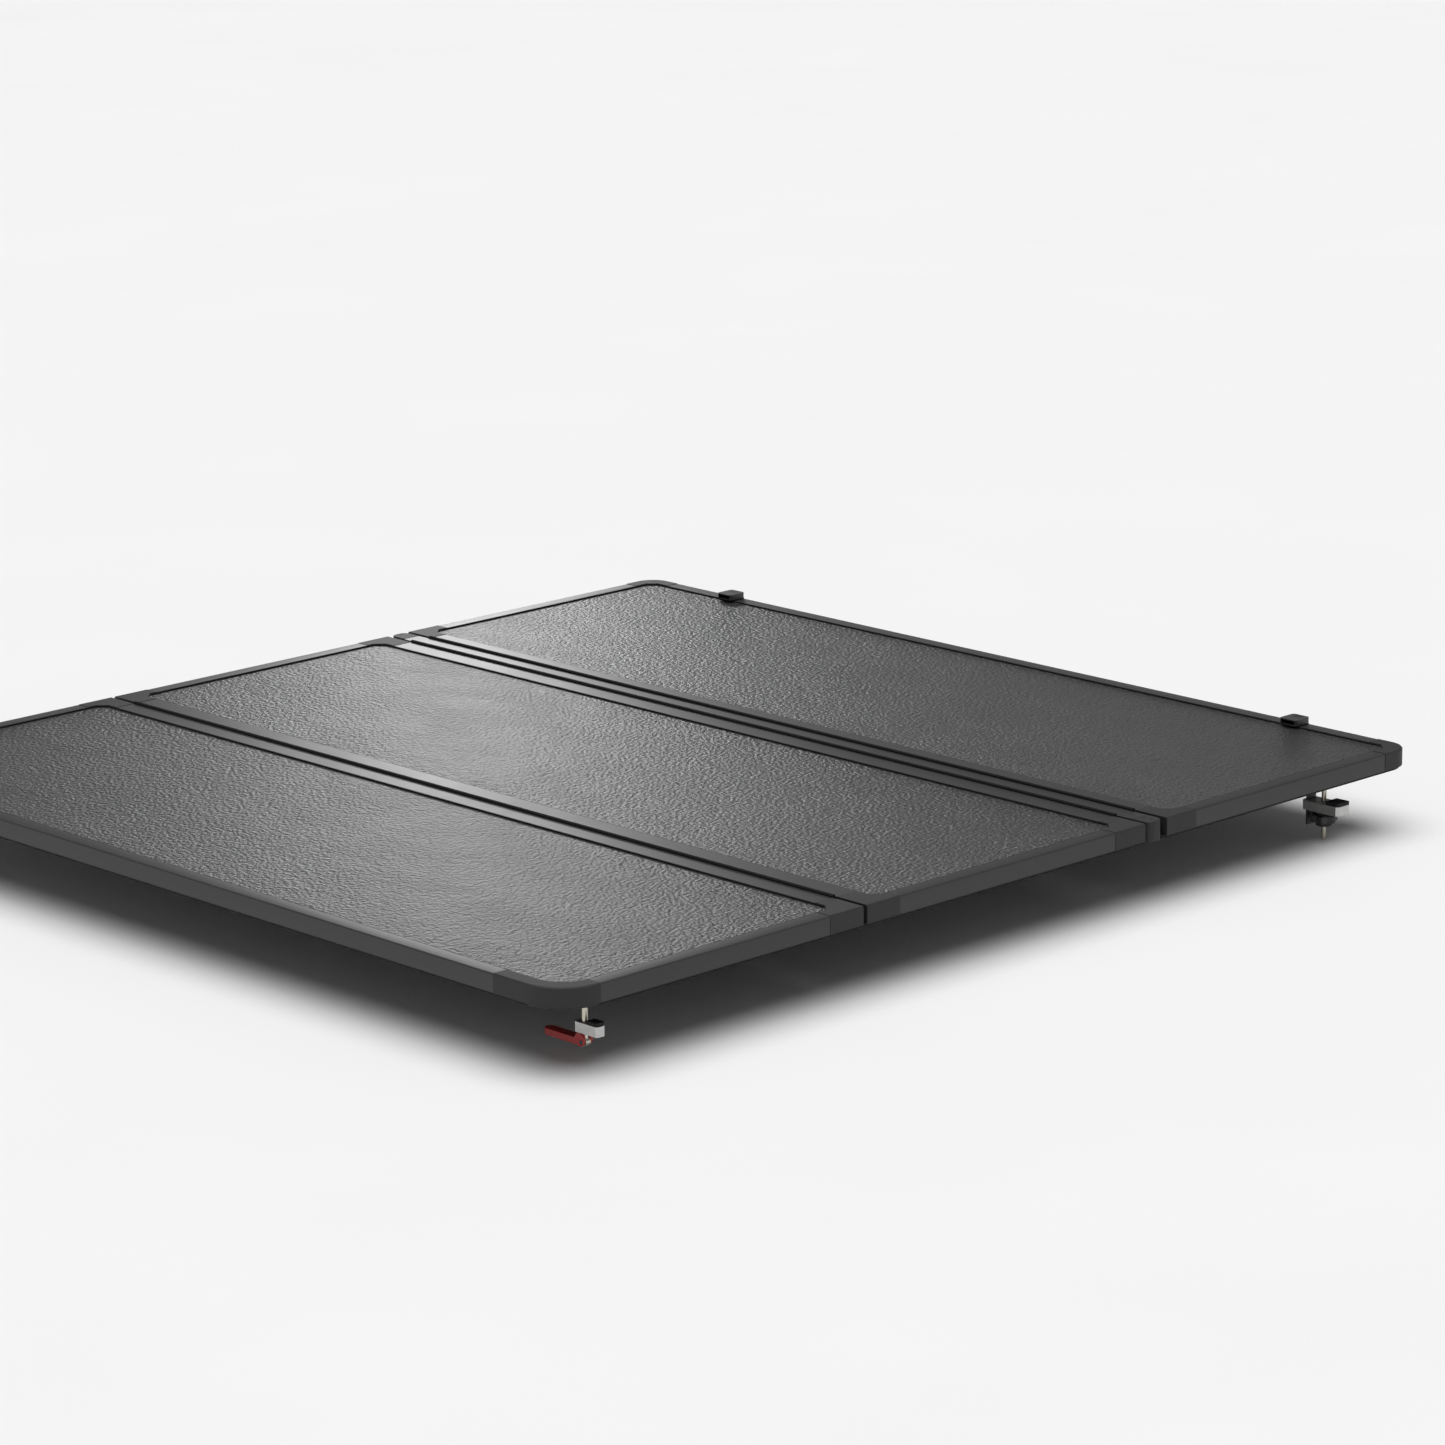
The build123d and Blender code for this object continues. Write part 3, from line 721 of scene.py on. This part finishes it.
def thread_recipe():
    """Threaded rods that start at the given points and run up: a core and a ridge wound round it."""
    recipe = Recipe("thread", Core="length", Depth="length", Pitch="length", Length="length")
    core, length = recipe.given("Core"), recipe.given("Length")
    inputs = {
        "Resolution": 20, "Rotations": length / recipe.given("Pitch"),
        "Start Radius": core, "End Radius": core, "Height": length,
    }
    spiral = recipe.level(recipe.node("GeometryNodeCurveSpiral", inputs=inputs))
    ridge = recipe.swept(spiral, recipe.circle(recipe.given("Depth"), 3))
    rod = recipe.moved(recipe.cylinder(20, core, length, "NGON"), recipe.vector(z=length / 2))
    recipe.close(recipe.scattered(recipe.given("Geometry"), recipe.join(ridge, rod)))
    return recipe


def fastener_recipe():
    """One fastener at each point, each turned by its own amount."""
    recipe = Recipe("fasteners", Head="thing", Turn="point", Seed="count")
    head = recipe.node(
        "GeometryNodeObjectInfo", {"transform_space": "ORIGINAL"},
        {"Object": recipe.given("Head")}, "Geometry",
    )
    spin = recipe.node(
        "FunctionNodeRandomValue", {"data_type": "FLOAT"},
        {"Min": 0.0, "Max": 2 * math.pi, "Seed": recipe.given("Seed")}, 1,
    )
    turned, spun = recipe.turn(recipe.given("Turn")), recipe.turn(recipe.vector(z=spin))
    rotation = recipe.node("FunctionNodeRotateRotation", {"rotation_space": "LOCAL"}, {0: turned, 1: spun})
    recipe.close(recipe.scattered(recipe.given("Geometry"), head, Rotation=rotation))
    return recipe


def stitch_recipe():
    """A row of stitches along each path."""
    recipe = Recipe("stitches", Spacing="length", Length="length", Radius="length")
    points = recipe.node(
        "GeometryNodeCurveToPoints", {"mode": "LENGTH"},
        {"Curve": recipe.path(), "Length": recipe.given("Spacing")},
    )
    rotation = Term(recipe, points.socket.node.outputs["Rotation"])
    stitch = recipe.cylinder(6, recipe.given("Radius"), recipe.given("Length"))
    recipe.close(recipe.scattered(points, stitch, Rotation=rotation))
    return recipe


BAND = band_recipe()
SEAL = seal_recipe()
RIBS = rib_recipe()
RING_RIBS = ring_rib_recipe()
THREADED = thread_recipe()
FASTENERS = fastener_recipe()
STITCHES = stitch_recipe()


def empty_piece(name):
    return add_object(name, bpy.data.meshes.new(name))


def screw_head(name, radius, height, socket):
    """A button head that points up from the origin, with a six-sided recess for its key."""
    turns = angles(24)
    profile = [
        (radius, 0.0), (radius, height * 0.35), (radius * 0.93, height * 0.7),
        (radius * 0.75, height * 0.95), (radius * 0.6, height),
    ]
    rings = [[(reach * math.cos(turn), reach * math.sin(turn), z) for turn in turns] for reach, z in profile]
    sector = math.pi / 3
    for z in (height, height * 0.3):
        ring = []
        for turn in turns:
            reach = socket * math.cos(sector / 2) / math.cos(turn % sector - sector / 2)
            ring.append((reach * math.cos(turn), reach * math.sin(turn), z))
        rings.append(ring)
    return add_object(name, ring_mesh(name, rings))


def fastened(name, points, radius, height, socket, turn=(0.0, 0.0, 0.0)):
    """Black screws at the points, as one piece."""
    head = screw_head("head", radius, height, socket)
    piece = path_mesh(name, [[point] for point in points])
    FASTENERS.make(piece, FINISH["screw_steel"], Head=head, Turn=turn, Seed=screw_seed)
    bpy.data.objects.remove(head)
    return piece


# ---- panels and frame

def in_box(node):
    low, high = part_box(node)
    return Vector(low), Vector(high)


def finish_panels():
    """The panels' skins, cores and liners keep their shape and get their finish."""
    for panel in PANELS:
        for layer in ("skin", "core", "liner"):
            node = f"{panel}_{layer}"
            mesh = frame["nodes"][node].data
            mesh.materials.clear()
            mesh.materials.append(FINISH[slot_of(node)])


def finish_frame():
    """Rails, hinge bar and corner caps with rounded edges; the knuckles' sleeves are a matt rubber, darkened
    as painted shade that stands in for the shadow in the hinge grooves.
    """
    pins = ("rear_hinge_pin", "middle_hinge_pin", "front_hinge_pin")
    axes = [(low + high) / 2 for low, high in map(in_box, pins)]
    painted_shade_bottom = 1.5 * knuckle_reach
    for node in list(frame["nodes"]):
        if node.endswith("_rail") or node == "hinge_bar":
            piece = softened(node, angle=50.0)
            place(piece, "rail_coating", body_of(node), node)
            # Knuckle faces near each hinge axis get the near-black rubber: painted shade for the groove.
            piece.data.materials.append(KNUCKLE_GROOVE_SHADE)
            for face in piece.data.polygons:
                for axis in axes:
                    near = abs(face.center.y - axis.y) < knuckle_reach
                    if near and face.center.z > axis.z - painted_shade_bottom:
                        face.material_index = 1
        elif node.endswith("_caps"):
            place(softened(node, cap_round), "cap_plastic", body_of(node), node)
    for node in pins:
        mesh = frame["nodes"][node].data
        mesh.materials.clear()
        mesh.materials.append(KNUCKLE_GROOVE_SHADE)


def window_outline(panel):
    """The skin's edge inside the lips, as a closed run of points."""
    rear_rail, front_rail = {
        "tail_panel": ("tailgate_rail", "tail_hinge_rail"),
        "middle_panel": ("middle_rear_hinge_rail", "middle_front_hinge_rail"),
        "front_panel": ("front_hinge_rail", "bulkhead_rail"),
    }[panel]
    inset = gasket_width / 2
    reach = in_box(f"{panel}_right_rail")[0].x - inset
    rear = in_box(rear_rail)[1].y + inset
    front = in_box(front_rail)[0].y - inset
    level = in_box(f"{panel}_skin")[1].z + gasket_height / 2
    points = []
    if panel == "tail_panel":
        radius = tail_window_radius - inset
        for side, first in ((-1, 180), (1, 270)):
            points += [
                (
                    side * (reach - radius) + radius * math.cos(angle),
                    rear + radius + radius * math.sin(angle), level,
                )
                for angle in quarter(first, 12)
            ]
    else:
        points += [(-reach, rear + window_chamfer, level), (window_chamfer - reach, rear, level)]
        points += [(reach - window_chamfer, rear, level), (reach, rear + window_chamfer, level)]
    points += [(reach, front - window_chamfer, level), (reach - window_chamfer, front, level)]
    points += [(window_chamfer - reach, front, level), (-reach, front - window_chamfer, level)]
    return points + points[:1]


def add_gaskets():
    """The black bead between each skin and its lips; it is partly a rubber part and partly painted shade, a
    dark line standing in for the shaded inner walls of the lips.
    """
    for panel in PANELS:
        piece = path_mesh(f"{panel}_gasket", [window_outline(panel)])
        BAND.make(piece, GASKET_SHADE_LINE, Width=gasket_width, Thickness=gasket_height, Rounding=0.5 * MM)
        place(piece, "seal_rubber", panel)


def make_seals():
    """Extruded seals: along the sides of each panel, and across both ends."""
    sizes = {"Base": seal_base, "Bulb": seal_bulb, "Lip": seal_lip, "Drop": seal_drop}
    for panel in PANELS:
        node = f"{panel}_side_seals"
        low, high = in_box(node)
        level = high.z - seal_base / 2
        x = high.x - side_seal_width / 2
        runs = [
            [(-x, high.y, level), (-x, low.y, level)],
            [(x, low.y, level), (x, high.y, level)],
        ]
        piece = path_mesh(f"{node}_strip", runs)
        SEAL.make(piece, FINISH["seal_rubber"], Width=side_seal_width, **sizes)
        place(piece, "seal_rubber", panel, node)
    for node, panel, heading in (("bulkhead_seal", "front_panel", -1), ("tailgate_seal", "tail_panel", 1)):
        low, high = in_box(node)
        level = high.z - seal_base / 2
        y = (low.y + high.y) / 2
        run = [(low.x, y, level), (high.x, y, level)]
        piece = path_mesh(f"{node}_strip", [run[::heading]])
        SEAL.make(piece, FINISH["seal_rubber"], Width=high.y - low.y, **sizes)
        place(piece, "seal_rubber", panel, node)


def add_fold_strips():
    """Rubber strips that carry the side seals across the open ends of the folds."""
    inner = in_box("rear_hinge_pin")[1].x
    outer, _y, top = in_box("middle_panel_side_seals")[1]
    level = (fold_strip_bottom + top) / 2
    clearance = fold_gap * 0.1
    rides = {"middle_panel": {"rear": 1, "middle": -1}, "front_panel": {"front": 1}}
    for panel, pins in rides.items():
        runs = []
        for pin, ahead in pins.items():
            low, high = in_box(f"{pin}_hinge_pin")
            y = (low.y + high.y) / 2 + ahead * clearance / 2
            runs += [[(side * inner, y, level), (side * outer, y, level)] for side in SIDES.values()]
        piece = path_mesh(f"{panel}_fold_strips", runs)
        BAND.make(
            piece, FINISH["seal_rubber"], Width=fold_gap - clearance,
            Thickness=top - fold_strip_bottom, Rounding=0.6 * MM,
        )
        place(piece, "seal_rubber", panel)


def make_bumpers():
    """Turned rubber feet with a rounded rim and a sunk screw."""
    low, high = in_box("tail_bumpers")
    radius = 12 * MM
    height = high.z - low.z
    rim = 2.2 * MM
    shank = radius * 0.94
    sunk = 4.0 * MM
    profile = [(0.0, height), (radius * 0.98, height), (radius, height * 0.7)]
    profile += [
        (shank - rim * (1 - math.cos(angle)), rim * (1 - math.sin(angle))) for angle in quarter(0, 5)
    ]
    profile += [(radius * 0.5, 0.0), (radius * 0.42, 1.0 * MM), (radius * 0.4, sunk), (0.0, sunk)]
    mesh = revolved("bumper", profile[::-1])
    points = [
        Vector((x, y, low.z))
        for x in (low.x + radius, high.x - radius) for y in (low.y + radius, high.y - radius)
    ]
    piece = joined("tail_bumpers_turned", [(mesh, Matrix.Translation(point)) for point in points])
    outward(piece.data)
    smooth(piece.data)
    place(piece, "pad_rubber", "tail_panel", "tail_bumpers")
    seats = [point + Vector((0.0, 0.0, sunk + 0.1 * MM)) for point in points]
    screws = fastened("tail_bumper_screws", seats, 4.2 * MM, 2.4 * MM, 1.7 * MM, UNDERNEATH)
    place(screws, "screw_steel", "tail_panel")


def add_cap_screws():
    """Pan heads under the frame, which hold the corner caps to the rails."""
    from_edge = 2.8 * MM
    for panel in PANELS:
        rail = in_box(f"{panel}_right_rail")[0]
        rear, front = (corner.y for corner in in_box(f"{panel}_corner_caps"))
        points = [
            (side * (rail.x + from_edge), end + inward * reach, rail.z)
            for side in SIDES.values() for end, inward in ((rear, 1), (front, -1))
            for reach in (30 * MM, 52 * MM)
        ]
        piece = fastened(f"{panel}_cap_screws", points, 2.3 * MM, 1.4 * MM, 1.1 * MM, UNDERNEATH)
        place(piece, "screw_steel", panel)


def make_bar_screws():
    """The two button heads in each end cap of the hinge bar."""
    low, high = in_box("hinge_bar_screws")
    y = (low.y + high.y) / 2
    outer = high.x - bar_screw_radius
    points = [
        (side * (outer - shift), y, high.z - bar_screw_height)
        for side in SIDES.values() for shift in (0.0, bar_screw_spacing)
    ]
    piece = fastened(
        "hinge_bar_button_screws", points, bar_screw_radius * 0.98, bar_screw_height, 1.3 * MM
    )
    place(piece, "screw_steel", "hinge_bar", "hinge_bar_screws")


# ---- clamps

def knob_mesh(name, high, low, centre):
    """A six-lobed hand knob with rounded lobes and a collar above and below."""
    bore, collar = 4.3 * MM, 11.6 * MM
    mean, wave = 18.4 * MM, 2.55 * MM
    top, bottom = high - 4 * MM, low + 6 * MM
    rounding = 3.0 * MM
    foot = collar + 1.2 * MM
    upper = [
        (high, bore), (high, collar - 1 * MM), (high - 0.3 * MM, collar - 0.3 * MM),
        (high - 1 * MM, collar), (top + 0.6 * MM, collar), (top, foot),
    ]
    lobed = [
        (top - rounding * (1 - math.cos(angle)), mean - rounding * (1 - math.sin(angle)))
        for angle in quarter(0, 5)
    ]
    lobed += [
        (bottom + rounding * (1 - math.sin(angle)), mean - rounding * (1 - math.cos(angle)))
        for angle in quarter(0, 5)
    ]
    lower = [
        (bottom, foot), (bottom - 0.8 * MM, collar), (low + 1 * MM, collar - 0.4 * MM),
        (low, collar - 1.6 * MM), (low, 7.4 * MM), (low + 1.2 * MM, 7.2 * MM), (low + 1.2 * MM, bore),
    ]
    rings = []
    for stations, depth in ((upper, 0.0), (lobed, wave), (lower, 0.0)):
        for z, radius in stations:
            reaches = [(radius + depth * math.cos(6 * angle), angle) for angle in angles(96)]
            rings.append([
                (centre.x + reach * math.cos(angle), centre.y + reach * math.sin(angle), z)
                for reach, angle in reaches
            ])
    mesh = ring_mesh(name, rings, closed=True)
    smooth(mesh, 50.0)
    return mesh


def combine(name, *pieces):
    """Several plain pieces as one; each keeps its finish."""
    work = bmesh.new()
    finishes = []
    for piece in pieces:
        start = len(finishes)
        finishes += list(piece.data.materials)
        first = len(work.faces)
        work.from_mesh(piece.data)
        work.faces.ensure_lookup_table()
        for face in work.faces[first:]:
            face.material_index += start
    mesh = bpy.data.meshes.new(name)
    work.to_mesh(mesh)
    work.free()
    for finish in finishes:
        mesh.materials.append(finish)
    for piece in pieces:
        bpy.data.objects.remove(piece)
    return add_object(name, mesh)


def painted(piece, finish):
    piece.data.materials.clear()
    piece.data.materials.append(finish)
    return piece


def make_knob(name):
    """A front clamp's knob, with fine ribs round its lower collar and its metal insert."""
    node = f"front_clamp_knob_{name}"
    low, high = in_box(node)
    centre = (low + high) / 2
    body = painted(add_object("body", knob_mesh("body", high.z, low.z, centre)), FINISH["knob_plastic"])
    ribs = RING_RIBS.make(
        empty_piece("ribs"), FINISH["knob_plastic"], Count=36,
        Centre=(centre.x, centre.y, low.z + 3.2 * MM), Reach=11.4 * MM, Height=4.4 * MM, Radius=0.5 * MM,
    )
    inner, outer, depth, chamfer = 4.05 * MM, 7.15 * MM, 2.2 * MM, 0.3 * MM
    profile = [(inner, 0.0), (6.9 * MM, 0.0), (outer, chamfer), (outer, depth), (inner, depth)]
    seat = Matrix.Translation((centre.x, centre.y, low.z + 0.3 * MM))
    insert = painted(joined("insert", [(revolved("insert", profile), seat)]), FINISH["stud_steel"])
    smooth(insert.data)
    place(combine(f"{node}_lobed", body, ribs, insert), "knob_plastic", f"front_knob_{name}", node)


def make_jaw(node, body):
    jaw = softened(node, jaw_round, angle=40.0, segments=3)
    place(jaw, "jaw_aluminium", body, node)


def make_front_clamps():
    """Bracket, threaded stud, jaw, pad and knob at each side of the front panel."""
    low, high = in_box("front_clamp_studs")
    y = (low.y + high.y) / 2
    feet = [[(x, y, low.z)] for x in (low.x + stud_radius, high.x - stud_radius)]
    studs = path_mesh("front_clamp_threaded_studs", feet)
    THREADED.make(
        studs, FINISH["stud_steel"], Core=stud_radius - thread_depth, Depth=thread_depth,
        Pitch=thread_pitch, Length=high.z - low.z - 0.5 * MM,
    )
    place(studs, "stud_steel", "front_panel", "front_clamp_studs")
    place(softened("front_clamp_brackets"), "bracket_coating", "front_panel", "front_clamp_brackets")
    low, high = in_box("front_clamp_screws")
    points = [
        (x, y, low.z + clamp_screw_height)
        for x in (low.x + clamp_screw_radius, high.x - clamp_screw_radius)
        for y in (low.y + clamp_screw_radius, high.y - clamp_screw_radius)
    ]
    screws = fastened(
        "front_clamp_button_screws", points, clamp_screw_radius, clamp_screw_height, 2.3 * MM, UNDERNEATH
    )
    place(screws, "screw_steel", "front_panel", "front_clamp_screws")
    for name in SIDES:
        make_jaw(f"front_clamp_jaw_{name}", f"front_jaw_{name}")
        make_pad(f"front_clamp_pad_{name}", f"front_jaw_{name}", 9)
        make_knob(name)


def make_pad(node, body, count):
    """A rubber pad with rounded edges and ribs across its face."""
    low, high = in_box(node)
    pad = painted(softened(node, pad_round, segments=3), FINISH["pad_rubber"])
    margin = 2.2 * MM
    start = (low.x + margin, (low.y + high.y) / 2, high.z - 0.65 * MM)
    step = (high.x - low.x - 2 * margin) / (count - 1)
    ribs = RIBS.make(
        empty_piece("ribs"), FINISH["pad_rubber"], Count=count, Start=start, Step=(step, 0.0, 0.0),
        Turn=ALONG_Y, Length=high.y - low.y - 2.4 * MM, Radius=0.8 * MM,
    )
    place(combine(f"{node}_ribbed", pad, ribs), "pad_rubber", body, node)


def make_lever(name, side):
    """A cam lever with ribs for the fingers on both faces of its end."""
    node = f"rear_clamp_lever_{name}"
    low, high = in_box(node)
    tip = low.x if side > 0 else high.x
    pin_low, pin_high = in_box(f"rear_clamp_lever_pin_{name}")
    level = (pin_low.z + pin_high.z) / 2
    lever = painted(softened(node, lever_round, angle=40.0, segments=3), FINISH["lever_plastic"])
    grips = []
    for face in (-1, 1):
        start = (tip + side * 9 * MM, (low.y + high.y) / 2, level + face * 4.3 * MM)
        grips.append(RIBS.make(
            empty_piece("grip"), FINISH["lever_plastic"], Count=8, Start=start,
            Step=(side * 3.4 * MM, 0.0, 0.0), Turn=ALONG_Y, Length=11 * MM, Radius=0.8 * MM,
        ))
    place(combine(f"{node}_gripped", lever, *grips), "lever_plastic", f"rear_lever_{name}", node)


def make_rear_clamps():
    """Bracket, swinging rod, jaw, pad and cam lever at each side of the tail panel."""
    place(softened("rear_clamp_brackets"), "bracket_coating", "tail_panel", "rear_clamp_brackets")
    place(softened("rear_clamp_pins", pin_round), "pin_steel", "tail_panel", "rear_clamp_pins")
    for name, side in SIDES.items():
        rod, rod_body = f"rear_clamp_rod_{name}", f"rear_rod_{name}"
        place(softened(rod, pin_round, angle=50.0), "stud_steel", rod_body, rod)
        pin = f"rear_clamp_lever_pin_{name}"
        place(softened(pin, pin_round), "pin_steel", rod_body, pin)
        make_jaw(f"rear_clamp_jaw_{name}", f"rear_jaw_{name}")
        make_pad(f"rear_clamp_pad_{name}", f"rear_jaw_{name}", 7)
        make_lever(name, side)


# ---- storage straps

def strap_mesh(run):
    """Webbing along a run of points in an upright plane: its width is always along X."""
    half = strap_thickness / 2
    corner = 0.6 * MM
    outline = []
    for turn, (across, up) in enumerate(((1, 1), (-1, 1), (-1, -1), (1, -1))):
        outline += [
            (
                across * (strap_width / 2 - corner) + corner * math.cos(angle),
                up * (half - corner) + corner * math.sin(angle),
            )
            for angle in quarter(90 * turn, 2)
        ]
    points = [Vector(point) for point in run]
    rings = []
    for index, point in enumerate(points):
        before = points[max(index - 1, 0)]
        after = points[min(index + 1, len(points) - 1)]
        normal = Vector((1.0, 0.0, 0.0)).cross((after - before).normalized())
        rings.append([point + Vector((across, 0.0, 0.0)) + up * normal for across, up in outline])
    return ring_mesh("webbing", rings)


def make_webbing(centres):
    """Straps over the bulkhead rail, each with a sewn end."""
    low, high = in_box("storage_strap_webbings")
    y = high.y - strap_thickness / 2
    z = high.z - strap_thickness / 2
    reach, face = 9 * MM, high.y + 0.05 * MM
    bottom, top = low.z + 2.5 * MM, high.z - 7 * MM
    straps, seams = [], []
    for x in centres:
        run = [(x, low.y, z), (x, y - strap_bend, z)]
        for angle in quarter(0, 6)[1:-1]:
            run.append((x, y - strap_bend * (1 - math.sin(angle)), z - strap_bend * (1 - math.cos(angle))))
        run += [(x, y, z - strap_bend), (x, y, low.z)]
        straps.append((strap_mesh(run), Matrix()))
        left, right = x - reach, x + reach
        corners = [(left, face, bottom), (right, face, bottom), (right, face, top), (left, face, top)]
        seams += [corners + corners[:1], corners[0::2], corners[1::2]]
    pair = joined("storage_strap_woven_webbings", straps)
    smooth(pair.data, 50.0)
    place(pair, "strap_webbing", "front_panel", "storage_strap_webbings")
    stitches = path_mesh("storage_strap_stitches", seams)
    STITCHES.make(stitches, THREAD, Spacing=2.6 * MM, Length=1.9 * MM, Radius=0.3 * MM)
    place(stitches, "strap_webbing", "front_panel")


def make_strap_end(node, body, centres, count, y, z):
    """Buckles or tongues with a few ribs across each, which start at y and z."""
    base = painted(softened(node, buckle_round, angle=40.0, segments=3), FINISH["buckle_plastic"])
    ribs = [
        RIBS.make(
            empty_piece("rib"), FINISH["buckle_plastic"], Count=count, Start=(x, y, z),
            Step=(0.0, 2.6 * MM, 0.0), Turn=ALONG_X, Length=15 * MM, Radius=0.7 * MM,
        )
        for x in centres
    ]
    place(combine(f"{node}_moulded", base, *ribs), "buckle_plastic", body, node)


def make_storage_straps():
    """The webbings, their buckles, and the tongues under the middle panel."""
    low, high = in_box("storage_strap_webbings")
    centres = (low.x + strap_width / 2, high.x - strap_width / 2)
    make_webbing(centres)
    sunk = 0.4 * MM
    low, high = in_box("storage_strap_buckles")
    start = (low.y + high.y) / 2 + 4 * MM
    make_strap_end("storage_strap_buckles", "front_panel", centres, 4, start, high.z - sunk)
    low, high = in_box("storage_strap_tongues")
    start = high.y - 34 * MM
    make_strap_end("storage_strap_tongues", "middle_panel", centres, 3, start, low.z + sunk)


# ---- studio

def add_camera():
    """A long lens that looks down on the right rear corner."""
    azimuth, elevation, roll = (math.radians(angle) for angle in (46.459, 14.401, -0.734))
    distance, aside, above = 7.340, 0.1602, 0.0466
    lip_plane = Vector((0.0, 0.0, in_box("tailgate_rail")[1].z))
    back = Vector((
        math.sin(azimuth) * math.cos(elevation), -math.cos(azimuth) * math.cos(elevation),
        math.sin(elevation),
    ))
    level_right = Vector((math.cos(azimuth), math.sin(azimuth), 0.0))
    level_up = back.cross(level_right)
    right = math.cos(roll) * level_right + math.sin(roll) * level_up
    up = -math.sin(roll) * level_right + math.cos(roll) * level_up
    lens = bpy.data.cameras.new("camera")
    lens.sensor_width = 36.0
    lens.lens = 124.02
    lens.clip_end = 200.0
    camera = add_object("camera", lens)
    turned = Matrix((right, up, back)).transposed().to_4x4()
    spot = lip_plane + aside * right + above * up + distance * back
    camera.matrix_world = Matrix.Translation(spot) @ turned
    bpy.context.scene.camera = camera


def add_lamp(name, kind, energy, facing, spot, **settings):
    """A light at the spot; facing is three directions: its right, its up and its back."""
    light = bpy.data.lights.new(name, kind)
    light.energy = energy
    for setting, value in settings.items():
        setattr(light, setting, value)
    lamp = add_object(name, light)
    lamp.visible_camera = False
    lamp.matrix_world = Matrix.Translation(spot) @ Matrix(facing).transposed().to_4x4()
    return lamp


def add_floor():
    """A wide round floor, just below the lowest point of the cover."""
    floor_radius = 60.0
    floor_level = cad_box[0][2] - 0.5 * MM
    work = bmesh.new()
    bmesh.ops.create_circle(work, cap_ends=True, segments=96, radius=floor_radius)
    mesh = bpy.data.meshes.new("floor")
    work.to_mesh(mesh)
    work.free()
    mesh.transform(Matrix.Translation((0.0, 0.0, floor_level)))
    mesh.materials.append(studio_floor())
    floor = add_object("floor", mesh)
    return floor


def add_world():
    """A room that is near white at the horizon and dimmer overhead."""
    world = bpy.data.worlds.new("studio")
    world.use_nodes = True
    air = Graph(world.node_tree)
    direction = air.node("ShaderNodeTexCoord", output="Generated")
    rise = air.node("ShaderNodeSeparateXYZ", inputs={0: direction}, output="Z")
    glow = air.node(
        "ShaderNodeMapRange", {"interpolation_type": "SMOOTHSTEP"},
        {"Value": rise, "From Min": 0.07, "From Max": 0.16, "To Min": 0.92, "To Max": 0.20},
    )
    backdrop = world.node_tree.nodes["Background"]
    backdrop.inputs["Color"].default_value = grey(1.0)
    world.node_tree.links.new(glow.socket, backdrop.inputs["Strength"])
    bpy.context.scene.world = world


def add_studio():
    """Floor, room, a broad soft light from above, and a low soft box whose sheen lies on the skins."""
    floor = add_floor()
    add_world()
    spot = Vector((0.5, -0.6, 6.0))
    facing = spot.to_track_quat("Z", "Y").to_matrix().transposed()
    add_lamp("overhead", "SUN", 2.9, facing, spot, angle=math.radians(70))
    along = Vector((-0.237, 0.971, 0.0)).normalized()
    inward = Vector((0.877, 0.213, -0.431)).normalized()
    facing = (along, along.cross(inward), -inward)
    spot = Vector((-2.89, 2.15, 1.05))
    sheen = add_lamp("sheen", "AREA", 25.0, facing, spot, shape="RECTANGLE", size=0.8, size_y=0.5)
    spared = bpy.data.collections.new("spared")
    spared.objects.link(floor)
    sheen.light_linking.receiver_collection = spared
    spared.collection_objects[0].light_linking.link_state = "EXCLUDE"
    bpy.context.scene.view_settings.view_transform = "Standard"


# ---- the whole cover

finish_panels()
finish_frame()
add_gaskets()
make_seals()
add_fold_strips()
make_bumpers()
add_cap_screws()
make_bar_screws()
make_front_clamps()
make_rear_clamps()
make_storage_straps()
add_camera()
add_studio()
